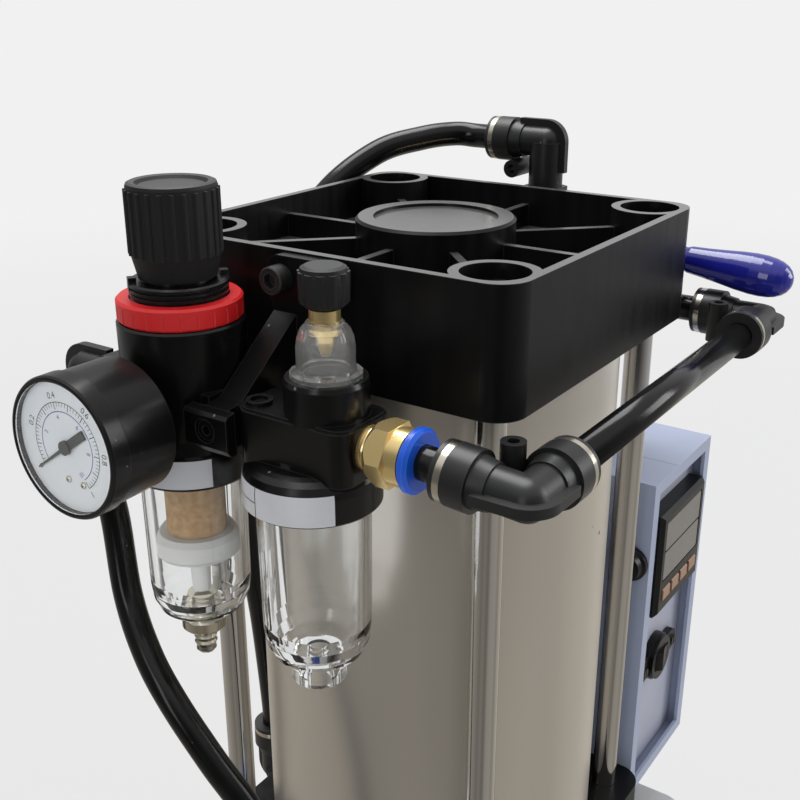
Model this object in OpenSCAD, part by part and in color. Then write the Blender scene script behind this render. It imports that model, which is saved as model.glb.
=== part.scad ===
// Desktop plunger injection moulding machine, air driven.
// Lengths are millimetres, the base underside is z = 0 and the front faces -Y.

/* [Cylinder] */

// inside diameter of the air cylinder tube
bore_d = 125; // [100:1:160]
// working travel of the piston
stroke = 150; // [120:5:220]
// thickness of each cast end cap
cap_h = 40; // [36:1:56]
// diameter of the piston rod
rod_d = 32; // [24:1:38]
// diameter of the four tie rods
tie_d = 10; // [8:1:12]

/* [Frame] */

// width of the upper plate and of the barrel plate
plate_w = 215; // [190:1:280]
// depth of the upper plate and of the barrel plate
plate_d = 156; // [148:1:220]
// thickness of the upper plate and of the barrel plate
plate_t = 20; // [16:1:30]
// diameter of the four columns
column_d = 25; // [20:1:30]
// width of the base plate
base_w = 320; // [270:1:420]
// depth of the base plate
base_d = 240; // [200:1:320]
// thickness of the base plate
base_t = 20; // [16:1:30]
// free height between the base plate and the nozzle tip
mould_room = 180; // [150:1:260]

/* [Barrel] */

// diameter of the injection plunger
shot_d = 25; // [18:1:28]
// outside diameter of the heated barrel
barrel_d = 50; // [44:1:60]
// mouth diameter of the pellet hopper
hopper_d = 96; // [80:1:110]

/* [Mould vice] */

// width of the vice jaws
jaw_w = 90; // [70:1:110]
// height of the vice jaws above the vice floor
jaw_h = 70; // [56:1:90]
// opening between the jaws at rest
jaw_gap = 90; // [74:1:100]
// closing travel of the moving jaw
jaw_travel = 40; // [20:1:50]

/* [Air line] */

// outside diameter of the air hose
hose_d = 10; // [8:1:10]
// diameter of the pressure gauge bezel
gauge_d = 42; // [36:1:46]
// length of the blue lever grip
grip_len = 46; // [36:1:60]

/* [Control box] */

// width of the control box
box_w = 63; // [58:1:90]
// height of the control box
box_h = 154.6; // [130:0.1:190]
// depth of the control box
box_d = 100; // [96:1:130]
// width and height of the temperature controller front
ctrl_s = 48; // [44:1:52]

/* [Hidden] */

$fn = 64;
gap = 0.25;
run = 0.05;
cap_w = bore_d + 11;
half = cap_w / 2;
cap_r = 10;
tie_p = half - 13;
tube_od = bore_d + 6;
tube_l = stroke + 62;
pocket = 15;
col_x = plate_w / 2 - 21.5;
col_y = plate_d / 2 - 19;
tip_z = base_t + mould_room;
barrel_z = tip_z + 25;
shelf_z = barrel_z + stroke - 55;
shelf_top = shelf_z + plate_t;
melt_z = barrel_z + 25;
rest_z = melt_z + stroke;
barrel_top = rest_z + 25;
hold_z = barrel_top + 5 + stroke;
hold_h = 45;
nut_h = 14;
upper_z = hold_z + hold_h + nut_h + 16;
upper_top = upper_z + plate_t;
low_cap_z = upper_top + gap;
tube_z = low_cap_z + cap_h;
top_z = tube_z + tube_l + cap_h;
head_l = top_z - upper_top;
frl_x = -half - 24;
reg_y = 31.3;
lub_y = -17.5;
port_z = -46.5;
frl_z = -44.2;
line_y = -87;
valve_x = half + 29;
box_x = half + gap;
box_top = -113.4;
box_front = -62;
panel_y = box_front + 6.2;
wall = 1.5;
vice_z = base_t + gap;
way_h = 18;
fixed_x = jaw_gap / 2;
jaw_t = 28;
jaw_x = -jaw_gap / 2;
lead_z = vice_z + way_h + jaw_h * 0.5;
nut_x = jaw_x - jaw_t - 46;

black = [0.05, 0.05, 0.055];
dark = [0.12, 0.12, 0.13];
steel = [0.75, 0.76, 0.78];
grey = [0.8, 0.8, 0.8];
brass = [0.8, 0.62, 0.25];
blue = [0.1, 0.2, 0.75];
red = [0.85, 0.1, 0.1];
clear = [0.85, 0.9, 0.92];
slate = [0.5, 0.54, 0.66];

// shared shapes

module round_square(w, d, r) {
  square([w - 2 * r, d], center = true);
  square([w, d - 2 * r], center = true);
  for (sx = [-1, 1], sy = [-1, 1])
    translate([sx * (w / 2 - r), sy * (d / 2 - r)])
      circle(r = r);
}

module at_corners(px, py) {
  for (sx = [-1, 1], sy = [-1, 1])
    translate([sx * px, sy * py, 0])
      children();
}

module at_cap() {
  translate([0, 0, top_z])
    children();
}

// socket head screw, head above z = 0 and shank below
module cap_screw(d, len) {
  difference() {
    union() {
      cylinder(d = d * 1.6, h = d * 0.94);
      translate([0, 0, d * 0.93])
        cylinder(d1 = d * 1.6, d2 = d * 1.48, h = d * 0.07);
      translate([0, 0, -len])
        cylinder(d = d, h = len + 0.5);
    }
    translate([0, 0, d * 0.5])
      cylinder(d = d * 0.95, h = d, $fn = 6);
  }
}

// hexagon nut standing on z = 0, corners rounded off by a cone
module hex_nut(d, across, h) {
  difference() {
    intersection() {
      cylinder(d = across / cos(30), h = h, $fn = 6);
      cylinder(d1 = across / cos(30) + h * 3, d2 = across / cos(30) - 1.2, h = h);
    }
    translate([0, 0, -1])
      cylinder(d = d, h = h + 2);
  }
}

// hose swept along points as a closed mesh with eight sides
function dir_at(p, i) = let (a = p[max(i - 1, 0)], b = p[min(i + 1, len(p) - 1)], v = b - a) v / norm(v);
function side_of(t, s) = let (v = s - t * (s * t)) v / norm(v);
function frame_run(p, i, s) = i == 0 ? side_of(dir_at(p, 0), s) : side_of(dir_at(p, i), frame_run(p, i - 1, s));

module sweep(p, r, start_side, n = 10) {
  last = len(p) - 1;
  rings = [for (i = [0 : last])
    let (t = dir_at(p, i), u = frame_run(p, i, start_side), v = cross(t, u))
    for (k = [0 : n - 1])
      p[i] + r * (cos(360 * k / n) * u + sin(360 * k / n) * v)];
  skin = [for (i = [0 : last - 1], k = [0 : n - 1])
    [i * n + k, i * n + (k + 1) % n, (i + 1) * n + (k + 1) % n, (i + 1) * n + k]];
  first_cap = [[for (k = [0 : n - 1]) n - 1 - k]];
  last_cap = [[for (k = [0 : n - 1]) last * n + k]];
  polyhedron(points = rings, faces = [for (f = concat(skin, first_cap, last_cap)) [for (j = [len(f) - 1 : -1 : 0]) f[j]]]);
}

// smooth curve through round points, four steps per span
function spline(a, b, c, d, t) = 0.5 * ((2 * b) + (c - a) * t + (2 * a - 5 * b + 4 * c - d) * t * t + (3 * b - a - 3 * c + d) * t * t * t);
function smooth(p, s = 4) = let (e = len(p) - 1) concat(
  [for (i = [0 : e - 1], k = [0 : s - 1])
    spline(p[max(i - 1, 0)], p[i], p[i + 1], p[min(i + 2, e)], k / s)],
  [p[e]]);

// frame

module base_plate() {
  color(grey)
    difference() {
      linear_extrude(base_t)
        round_square(base_w, base_d, 20);
      at_corners(base_w / 2 - 18, base_d / 2 - 18) {
        translate([0, 0, -1])
          cylinder(d = 11, h = base_t + 2);
        translate([0, 0, base_t - 7])
          cylinder(d = 20, h = 8);
      }
      at_corners(col_x, col_y) {
        translate([0, 0, -1])
          cylinder(d = 10.2, h = base_t + 2);
        translate([0, 0, -1])
          cylinder(d = 17, h = 12.5);
      }
      // tapped holes for the vice
      for (sx = [fixed_x + jaw_t * 0.5, nut_x - 2], sy = [-1, 1])
        translate([sx, sy * (jaw_w / 2 + 9), base_t - 15])
          cylinder(d = 6.1, h = 16);
    }
}

module columns() {
  color(steel)
    at_corners(col_x, col_y)
      translate([0, 0, base_t + gap])
        difference() {
          union() {
            cylinder(d1 = column_d - 2, d2 = column_d, h = 1);
            translate([0, 0, 1])
              cylinder(d = column_d, h = upper_z - base_t - 2 * gap - 2);
            translate([0, 0, upper_z - base_t - 2 * gap - 1])
              cylinder(d1 = column_d, d2 = column_d - 2, h = 1);
          }
          translate([0, 0, -1])
            cylinder(d = 10.1, h = 31);
          translate([0, 0, upper_z - base_t - 2 * gap - 30])
            cylinder(d = 10.1, h = 31);
        }
}

module shelf_shape() {
  difference() {
    round_square(plate_w, plate_d, 12);
    at_corners(col_x, col_y)
      circle(d = column_d + 0.2);
  }
}

module barrel_plate() {
  color(grey)
    translate([0, 0, shelf_z])
      difference() {
        linear_extrude(plate_t)
          shelf_shape();
        translate([0, 0, -1])
          cylinder(d = barrel_d + 0.2, h = plate_t + 2);
        at_corners(26, 26)
          translate([0, 0, plate_t - 15])
            cylinder(d = 6.1, h = 16);
      }
}

module upper_plate() {
  color(grey)
    translate([0, 0, upper_z])
      difference() {
        linear_extrude(plate_t)
          round_square(plate_w, plate_d, 12);
        translate([0, 0, -1])
          cylinder(d = rod_d + 28.2, h = plate_t + 2);
        at_corners(col_x, col_y) {
          translate([0, 0, -1])
            cylinder(d = 10.2, h = plate_t + 2);
          translate([0, 0, plate_t - 10.5])
            cylinder(d = 17, h = 11);
        }
        for (a = [0 : 90 : 270])
          rotate(a)
            translate([tie_p - 5, 0, -1])
              cylinder(d = 10.2, h = plate_t + 2);
        // bulkhead hole for the supply hose
        translate([supply_x, supply_y, -1])
          cylinder(d = 15.1, h = plate_t + 2);
        // tapped holes under the box bracket
        for (y = [-30, 20])
          translate([box_x + 20, y, plate_t - 12])
            cylinder(d = 5.1, h = 13);
      }
}

module shaft_collars() {
  color(steel)
    for (z = [shelf_z - 14 - gap, shelf_top + gap])
      at_corners(col_x, col_y)
        translate([0, 0, z])
          rotate(90)
            difference() {
              cylinder(d = column_d + 17, h = 14);
              translate([0, 0, -1])
                cylinder(d = column_d + 0.1, h = 16);
              translate([0, -0.8, -1])
                cube([40, 1.6, 16]);
              translate([column_d / 2 + 4.2, 14, 7])
                rotate([90, 0, 0])
                  cylinder(d = 4.2, h = 28);
              translate([column_d / 2 + 4.2, 20, 7])
                rotate([90, 0, 0])
                  cylinder(d = 7.6, h = 12);
            }
}

module m10_hardware() {
  color(dark) {
    at_corners(col_x, col_y) {
      translate([0, 0, upper_top - 10.2])
        cap_screw(10, 28);
      translate([0, 0, 11.2])
        mirror([0, 0, 1])
          cap_screw(10, 28);
    }
    // screws that hold the cylinder down on the upper plate
    for (a = [0 : 90 : 270])
      rotate(a)
        translate([tie_p - 5, 0, upper_z - gap])
          mirror([0, 0, 1])
            cap_screw(10, 34);
    at_cap() {
      at_corners(tie_p, tie_p) {
        translate([0, 0, -13.6])
          hex_nut(tie_d + 0.1, 16, 8);
        translate([0, 0, -head_l + gap + 12.6])
          mirror([0, 0, 1])
            hex_nut(tie_d + 0.1, 16, 8);
      }
    }
  }
}

module m6_screws() {
  color(dark) {
    // barrel flange
    at_corners(26, 26)
      translate([0, 0, shelf_top + 12 + 2 * gap])
        cap_screw(6, 24);
    // vice feet
    for (sx = [fixed_x + jaw_t * 0.5, nut_x - 2], sy = [-1, 1])
      translate([sx, sy * (jaw_w / 2 + 9), vice_z + 10 + gap])
        cap_screw(6, 22);
    // bracket of the air preparation unit
    for (y = bracket_y)
      translate([-half - 4 - 2 * gap, y, top_z + bracket_z])
        rotate([0, -90, 0])
          cap_screw(5.3, 12);
  }
}

// mould vice

module vice_body() {
  x0 = nut_x - 16;
  x1 = fixed_x + jaw_t;
  color(dark)
    translate([0, 0, vice_z])
      difference() {
        union() {
          translate([x0, -jaw_w / 2 + 8, 0])
            cube([x1 - x0, jaw_w - 16, way_h]);
          translate([x0, -jaw_w / 2, 0])
            cube([x1 - x0, jaw_w, 8]);
          translate([fixed_x, -jaw_w / 2, 0])
            cube([jaw_t, jaw_w, way_h + jaw_h]);
          translate([x0, -24, 0])
            cube([20, 48, way_h + jaw_h * 0.5]);
          translate([x0, 0, lead_z - vice_z])
            rotate([0, 90, 0])
              cylinder(r = 24, h = 20);
          for (sx = [fixed_x + jaw_t * 0.5, nut_x - 2], sy = [-1, 1])
            translate([sx, sy * (jaw_w / 2 + 9), 0]) {
              cylinder(r = 10, h = 10);
              translate([-10, sy > 0 ? -16 : 0, 0])
                cube([20, 16, 10]);
            }
        }
        // slot between the two ways
        translate([nut_x + 12, -14, 5])
          cube([fixed_x - nut_x - 22, 28, way_h]);
        // lead screw bore
        translate([x0 - 1, 0, lead_z - vice_z])
          rotate([0, 90, 0])
            cylinder(d = 16.1, h = 22);
        for (sx = [fixed_x + jaw_t * 0.5, nut_x - 2], sy = [-1, 1])
          translate([sx, sy * (jaw_w / 2 + 9), -1])
            cylinder(d = 6.3, h = 12);
        // relief on the back of the fixed jaw
        translate([fixed_x + jaw_t - 8, -jaw_w / 2 - 1, way_h + jaw_h])
          rotate([0, 30, 0])
            cube([20, jaw_w + 2, 20]);
      }
}

module vice_jaw() {
  color(dark)
    translate([jaw_x - jaw_t, 0, vice_z])
      difference() {
        union() {
          translate([0, -jaw_w / 2, way_h + 0.1])
            cube([jaw_t, jaw_w, jaw_h - 0.1]);
          // key that runs in the slot between the ways
          translate([0, -13.9, way_h - 9])
            cube([jaw_t, 27.8, 10]);
          translate([-10, 0, lead_z - vice_z])
            rotate([0, 90, 0])
              cylinder(r = 16, h = 11);
        }
        // seat of the lead screw end
        translate([-11, 0, lead_z - vice_z])
          rotate([0, 90, 0])
            cylinder(d = 16.2, h = 23);
        // shallow sprue groove across the jaw face
        translate([jaw_t - 1.5, 0, way_h + jaw_h * 0.5])
          rotate([0, 90, 0])
            cylinder(d = 12, h = 3);
        translate([-1, -jaw_w / 2 - 1, way_h + jaw_h])
          rotate([0, 60, 0])
            translate([0, 0, -10])
              cube([12, jaw_w + 2, 10]);
      }
}

module vice_screw() {
  x_end = jaw_x - jaw_t + 11;
  shaft = x_end - nut_x + 24 + jaw_travel;
  bar_half = lead_z - base_t - 11;
  color(steel)
    translate([x_end, 0, lead_z])
      rotate([0, -90, 0]) {
        cylinder(d1 = 13, d2 = 16, h = 2);
        translate([0, 0, 2])
          cylinder(d = 16, h = shaft - 2);
        // ring shoulder that pushes the jaw
        translate([0, 0, 22])
          cylinder(d = 26, h = 5);
        // round head with the cross bar through it
        translate([0, 0, shaft - 6])
          difference() {
            union() {
              cylinder(d = 30, h = 24);
              translate([0, 0, 24])
                cylinder(d1 = 30, d2 = 24, h = 3);
            }
            translate([0, 0, 13])
              rotate([90, 0, 0])
                cylinder(d = 10.1, h = 60, center = true);
          }
        translate([0, 0, shaft + 7])
          rotate([90, 0, 0]) {
            cylinder(d = 10, h = 2 * bar_half, center = true);
            for (s = [-1, 1])
              translate([0, 0, s * bar_half])
                sphere(d = 16);
          }
      }
}

// heated barrel

module barrel() {
  r = barrel_d / 2;
  b = (shot_d + 2 * run) / 2;
  color(steel)
    difference() {
      rotate_extrude()
        polygon([
          [b, barrel_top], [b, barrel_z + 25], [10.05, barrel_z + 16], [10.05, barrel_z],
          [r - 2, barrel_z], [r, barrel_z + 2], [r, shelf_top + gap], [r + 22, shelf_top + gap],
          [r + 22, shelf_top + 11 + gap], [r + 21, shelf_top + 12 + gap], [r + 3, shelf_top + 12 + gap],
          [r, shelf_top + 15 + gap], [r, barrel_top - 3], [r - 3, barrel_top]
        ]);
      at_corners(26, 26)
        translate([0, 0, shelf_top - 1])
          cylinder(d = 6.3, h = 20);
      // feed window that the hopper chute empties into
      translate([0, -8, rest_z - 20])
        rotate([90, 0, 0])
          cylinder(r = shot_d * 0.44, h = 40);
      // pocket of the temperature sensor
      translate([0, -r - 1, band_z(0) + band_h + 3.5])
        rotate([-90, 0, 0])
          cylinder(d = 5.1, h = 9);
    }
}

band_h = (shelf_z - barrel_z - 27) / 2;
function band_z(i) = barrel_z + 8 + i * (band_h + 7);

module nozzle() {
  color(brass)
    translate([0, 0, tip_z])
      difference() {
        union() {
          cylinder(d1 = 9, d2 = 24, h = 9);
          translate([0, 0, 9])
            cylinder(d = 24, h = 4.1);
          translate([0, 0, 13])
            cylinder(d = 34 / cos(30), h = 11.7, $fn = 6);
          translate([0, 0, 24])
            cylinder(d = 20, h = 15);
        }
        translate([0, 0, -1])
          cylinder(d = 4, h = 20);
        translate([0, 0, 12])
          cylinder(d1 = 4, d2 = 14, h = 27.1);
      }
}

module heater_bands() {
  r = barrel_d / 2;
  color(steel)
    for (i = [0, 1])
      translate([0, 0, band_z(i)]) {
        difference() {
          union() {
            cylinder(r = r + 4.5, h = band_h);
            // clamp ears
            translate([-6, r + 1, 2])
              cube([12, 16, band_h - 4]);
            // terminal block
            translate([r + 2, -9, 5])
              cube([13, 18, band_h - 10]);
          }
          translate([0, 0, -1])
            cylinder(r = r + 0.2, h = band_h + 2);
          translate([-1.5, 0, -1])
            cube([3, r + 30, band_h + 2]);
          for (k = [0.3, 0.7])
            translate([-10, r + 12, band_h * k])
              rotate([0, 90, 0])
                cylinder(d = 5.2, h = 20);
        }
        for (k = [0.3, 0.7])
          translate([6 + gap, r + 12, band_h * k])
            rotate([0, 90, 0])
              cap_screw(5, 13);
        for (y = [-4.5, 4.5])
          translate([r + 15 + gap, y, band_h / 2])
            rotate([0, 90, 0])
              hex_nut(3.2, 6, 3);
      }
}

module thermocouple() {
  r = barrel_d / 2;
  color(steel)
    translate([0, -r, band_z(0) + band_h + 3.5])
      rotate([90, 0, 0]) {
        translate([0, 0, -7])
          cylinder(d = 5, h = 30);
        translate([0, 0, 8])
          cylinder(d = 9 / cos(30), h = 7, $fn = 6);
        translate([0, 0, 15])
          cylinder(d1 = 8, d2 = 6.5, h = 13);
      }
}

module hopper() {
  r = hopper_d / 2;
  hy = -r - 36;
  z0 = rest_z + 38;
  tube_r = shot_d * 0.44 - 0.1;
  dy = -hy - barrel_d / 2 + 1;
  drop = z0 - (rest_z - 20);
  run_l = sqrt(dy * dy + drop * drop);
  lean = atan2(dy, drop);
  color(steel)
    difference() {
      union() {
        translate([0, hy, z0])
          rotate_extrude()
            polygon([
              [0, 0], [tube_r + 1, 0], [r, r - tube_r], [r, r - tube_r + 40], [r + 3, r - tube_r + 40],
              [r + 3, r - tube_r + 42], [0, r - tube_r + 42]
            ]);
        // chute that slopes into the feed window
        translate([0, hy, z0 + 1])
          sphere(r = tube_r + 2);
        translate([0, hy, z0 + 1])
          rotate([180 + lean, 0, 0])
            cylinder(r = tube_r + 2, h = run_l);
        // mounting saddle on the barrel
        translate([0, 0, rest_z - 20])
          intersection() {
            difference() {
              cylinder(d = barrel_d + 9, h = 40, center = true);
              cylinder(d = barrel_d + 2 * gap, h = 42, center = true);
            }
            translate([-18, -60, -20])
              cube([36, 50, 40]);
          }
      }
      translate([0, hy, z0])
        rotate_extrude()
          polygon([
            [0, -0.5], [tube_r - 1, -0.5], [tube_r - 1, 1.2], [r - 2, r - tube_r + 0.6],
            [r - 2, r - tube_r + 43], [0, r - tube_r + 43]
          ]);
      translate([0, hy, z0 + 1])
        sphere(r = tube_r);
      translate([0, hy, z0 + 1])
        rotate([180 + lean, 0, 0])
          cylinder(r = tube_r, h = run_l + 30);
      // keep the barrel itself free
      translate([0, 0, rest_z - 70])
        cylinder(d = barrel_d + 2 * gap, h = 140);
    }
}

// moving ram: everything below rides on the piston

module plunger() {
  color(steel)
    translate([0, 0, rest_z]) {
      cylinder(d1 = shot_d - 2, d2 = shot_d, h = 1);
      translate([0, 0, 1])
        cylinder(d = shot_d, h = hold_z - rest_z + 17);
      translate([0, 0, hold_z - rest_z + 18 - 0.01])
        cylinder(d = shot_d + 6, h = 4);
    }
}

module plunger_holder() {
  r = max(rod_d / 2 + 6, shot_d / 2 + 9);
  color(dark) {
    translate([0, 0, hold_z])
      difference() {
        rotate_extrude()
          polygon([
            [0, 0], [r - 2, 0], [r, 2], [r, hold_h - 2], [r - 2, hold_h], [0, hold_h]
          ]);
        translate([0, 0, -1])
          cylinder(d = shot_d + 0.4, h = 20);
        translate([0, 0, 18 - gap])
          cylinder(d = shot_d + 6.4, h = 4 + 2 * gap);
        translate([0, 0, 22])
          cylinder(d = rod_d * 0.8 + 0.1, h = hold_h);
        // spanner flats
        for (s = [-1, 1])
          translate([s * (r + 20 - 3) - 20, -30, hold_h - 18])
            cube([40, 60, 12]);
      }
    translate([0, 0, hold_z + hold_h + gap])
      hex_nut(rod_d * 0.8 + 0.1, rod_d + 8, nut_h - gap);
  }
}

piston_top = top_z - cap_h - 4;
piston_t = 28;

module piston_rod() {
  thread_top = hold_z + hold_h + nut_h + 6;
  color(steel) {
    translate([0, 0, thread_top + 2])
      cylinder(d = rod_d, h = piston_top - piston_t - gap - thread_top - 2);
    translate([0, 0, thread_top])
      cylinder(d1 = rod_d * 0.8, d2 = rod_d, h = 2);
    translate([0, 0, hold_z + 22 + gap])
      cylinder(d = rod_d * 0.8, h = thread_top - hold_z - 21.9 - gap);
    translate([0, 0, piston_top - piston_t - gap - 0.1])
      cylinder(d = rod_d * 0.6, h = piston_t + 10 + gap);
    // nut that holds the piston on the rod
    translate([0, 0, piston_top + gap])
      cylinder(d = 30, h = 9, $fn = 6);
  }
}

module piston() {
  r = bore_d / 2 - run;
  color(grey)
    translate([0, 0, piston_top - piston_t])
      rotate_extrude()
        polygon([
          [rod_d * 0.3 + 0.05, 0], [r - 2, 0], [r - 1, 1], [r - 1, 5], [r - 5, 5], [r - 5, 9],
          [r, 9], [r, 19], [r - 5, 19], [r - 5, 23], [r - 1, 23], [r - 1, 27], [r - 2, 28],
          [rod_d * 0.3 + 0.05, 28]
        ]);
}

module piston_seals() {
  r = bore_d / 2 - run;
  color(dark)
    for (z = [5, 19])
      translate([0, 0, piston_top - piston_t + z + 0.1])
        rotate_extrude()
          polygon([[r - 4.9, 0], [r - 0.6, 0], [r, 0.6], [r, 3.2], [r - 0.6, 3.8], [r - 4.9, 3.8]]);
}

// cylinder

module tie_holes(depth) {
  at_corners(tie_p, tie_p) {
    translate([0, 0, -cap_h - 20])
      cylinder(d = tie_d + 0.4, h = cap_h + 40);
    translate([0, 0, -depth])
      cylinder(d = 20.6, h = depth + 1);
  }
}

module tube_groove() {
  rotate_extrude()
    polygon([
      [bore_d / 2 - 0.1, -1], [tube_od / 2 + 0.1, -1], [tube_od / 2 + 0.1, 6], [bore_d / 2 - 0.1, 6]
    ]);
}

module cap_top() {
  color(black)
    at_cap()
      difference() {
        union() {
          translate([0, 0, -cap_h])
            linear_extrude(cap_h)
              difference() {
                round_square(cap_w, cap_w, cap_r);
                pocket_shape();
              }
          translate([0, 0, -cap_h])
            linear_extrude(cap_h - pocket)
              round_square(cap_w - 2, cap_w - 2, cap_r - 1);
          // screw bosses behind the bracket, low enough not to show over the rim
          for (y = bracket_y)
            translate([-half + 2.5, y, bracket_z])
              rotate([0, 90, 0])
                cylinder(r = 4.3, h = 6);
          // ribs from the middle boss to the rim and to the corners
          for (a = [0 : 45 : 315])
            rotate(a)
              translate([24, -1.4, -pocket - 1])
                cube([a % 90 == 0 ? half - 26 : tie_p * 1.414 - 34, 2.8, pocket + 1 - 6.5]);
        }
        tie_holes(14);
        // shallow dished face of the middle boss
        translate([0, 0, -1.1])
          cylinder(r = 21.5, h = 3);
        rotate_extrude()
          polygon([[26.6, 0.1], [28, 0.1], [28, -1.2]]);
        translate([0, 0, -cap_h])
          tube_groove();
        // cushion bore and air port
        translate([0, 0, -cap_h - 1])
          cylinder(r = 21, h = 19);
        translate([0, 0, -cap_h + 13])
          rotate([0, 90, 0])
            cylinder(d = 8, h = half + 1);
        translate([half - 15, 0, -cap_h + 13])
          rotate([0, 90, 0])
            cylinder(d = 13.1, h = 16);
        // screws of the air unit bracket
        for (y = bracket_y)
          translate([-half - 1, y, bracket_z])
            rotate([0, 90, 0])
              cylinder(d = 5.4, h = 9);
      }
}

bracket_y = [-9.2, 8.2];
bracket_z = -7.3;

module pocket_shape() {
  difference() {
    round_square(cap_w - 6, cap_w - 6, 7);
    circle(r = 27.65);
    at_corners(tie_p, tie_p)
      circle(r = 13.4);
  }
}

module cap_bottom() {
  color(black)
    translate([0, 0, low_cap_z])
      difference() {
        union() {
          linear_extrude(cap_h)
            round_square(cap_w, cap_w, cap_r);
          translate([0, 0, -14])
            cylinder(d = rod_d + 28, h = 15);
        }
        translate([0, 0, cap_h])
          mirror([0, 0, 1])
            tube_groove();
        translate([0, 0, cap_h - 12])
          cylinder(r = 26, h = 13);
        translate([0, 0, -15])
          cylinder(d = rod_d + 12.1, h = cap_h);
        translate([0, 0, -15])
          cylinder(d = rod_d + 2, h = cap_h + 20);
        at_corners(tie_p, tie_p) {
          translate([0, 0, -1])
            cylinder(d = tie_d + 0.4, h = cap_h + 2);
          translate([0, 0, -1])
            cylinder(d = 20.6, h = 14);
        }
        for (a = [0 : 90 : 270])
          rotate(a)
            translate([tie_p - 5, 0, -1])
              cylinder(d = 10.1, h = 16);
        // rear air port
        translate([0, 20, 20])
          rotate([-90, 0, 0])
            cylinder(d = 8, h = half);
        translate([0, half - 14, 20])
          rotate([-90, 0, 0])
            cylinder(d = 13.1, h = 15);
      }
}

module rod_bushing() {
  color(brass)
    translate([0, 0, low_cap_z - 13.9])
      difference() {
        cylinder(d = rod_d + 12, h = cap_h - 1.2);
        translate([0, 0, -1])
          cylinder(d = rod_d + 0.1, h = cap_h + 2);
        // groove of the wiper lip
        translate([0, 0, 4])
          cylinder(d = rod_d + 3, h = 3);
      }
}

module cylinder_tube() {
  color(grey)
    translate([0, 0, tube_z - 5.8])
      difference() {
        cylinder(d = tube_od, h = tube_l + 11.6, $fn = 128);
        translate([0, 0, -1])
          cylinder(d = bore_d, h = tube_l + 14, $fn = 128);
      }
}

module tie_rods() {
  color(steel)
    at_corners(tie_p, tie_p)
      translate([0, 0, low_cap_z + 2])
        cylinder(d = tie_d, h = top_z - low_cap_z - 5.5);
}

// air preparation unit

module frl_bracket() {
  color(black)
    at_cap()
      difference() {
        union() {
          // plate on the cap, round upper corners
          translate([-half - 4 - gap, 0, 0])
            rotate([90, 0, 90])
              linear_extrude(4) {
                polygon([
                  [-10.5, -0.6], [9.5, -0.6], [14, -5.1], [14, -10], [11.85, -18.3], [11.85, -52], [3.15, -52], [3.15, -24],
                  [-15, -10], [-15, -5.1]
                ]);
                for (y = [-10.5, 9.5])
                  translate([y, -5.1])
                    circle(r = 4.5);
              }
          // web that slopes down from the plate to the clamp nose
          translate([0, 11.85, 0])
            rotate([90, 0, 0])
              linear_extrude(8.7)
                polygon([
                  [-half - gap - 1, -16.5], [-half - 4 - gap, -18], [frl_x - 6, -38], [frl_x - 14, -39], [frl_x - 14, -51],
                  [-half - gap - 1, -52]
                ]);
          // clamp nose in front of both bodies
          translate([0, 16.4, 0])
            rotate([90, 0, 0])
              linear_extrude(16.4)
                polygon([
                  [frl_x - 12.5, -38.4], [frl_x - 15.6, -38.9], [frl_x - 16.4, -39.9], [frl_x - 16.4, -49.4],
                  [frl_x - 14.8, -51.4], [frl_x - 12.5, -51.4]
                ]);
        }
        for (y = bracket_y)
          translate([-half - 10, y, bracket_z])
            rotate([0, 90, 0])
              cylinder(d = 5.6, h = 12);
        translate([frl_x, 0, frl_z])
          rotate([-90, 0, 0])
            cylinder(d = 10.5, h = 20);
        // upper front corner of the nose cut away on the open side
        translate([frl_x - 20, -2, -36])
          rotate([0, 0, -24])
            cube([14, 6, 3.4]);
        // socket screw of the clamp
        translate([frl_x - 17, 8.4, -44.6])
          rotate([0, 90, 0])
            difference() {
              cylinder(r = 3.6, h = 3.6);
              translate([0, 0, 1.2])
                cylinder(r = 3.2, h = 3);
              cylinder(r = 1.6, h = 4, $fn = 6);
            }
        translate([frl_x - 17, 8.4, -44.6])
          rotate([0, 90, 0])
            cylinder(r = 1.6, h = 4, $fn = 6);
      }
}

// side block with bevelled edges, used on both bodies
module side_block(y0, y1, w, h) {
  difference() {
    translate([-w / 2, y0, -h / 2])
      cube([w, y1 - y0, h]);
    for (s = [-1, 1], t = [-1, 1])
      translate([s * w / 2, (y0 + y1) / 2, t * h / 2])
        rotate([0, 45, 0])
          cube([5, y1 - y0 + 2, 5], center = true);
  }
}

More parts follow.
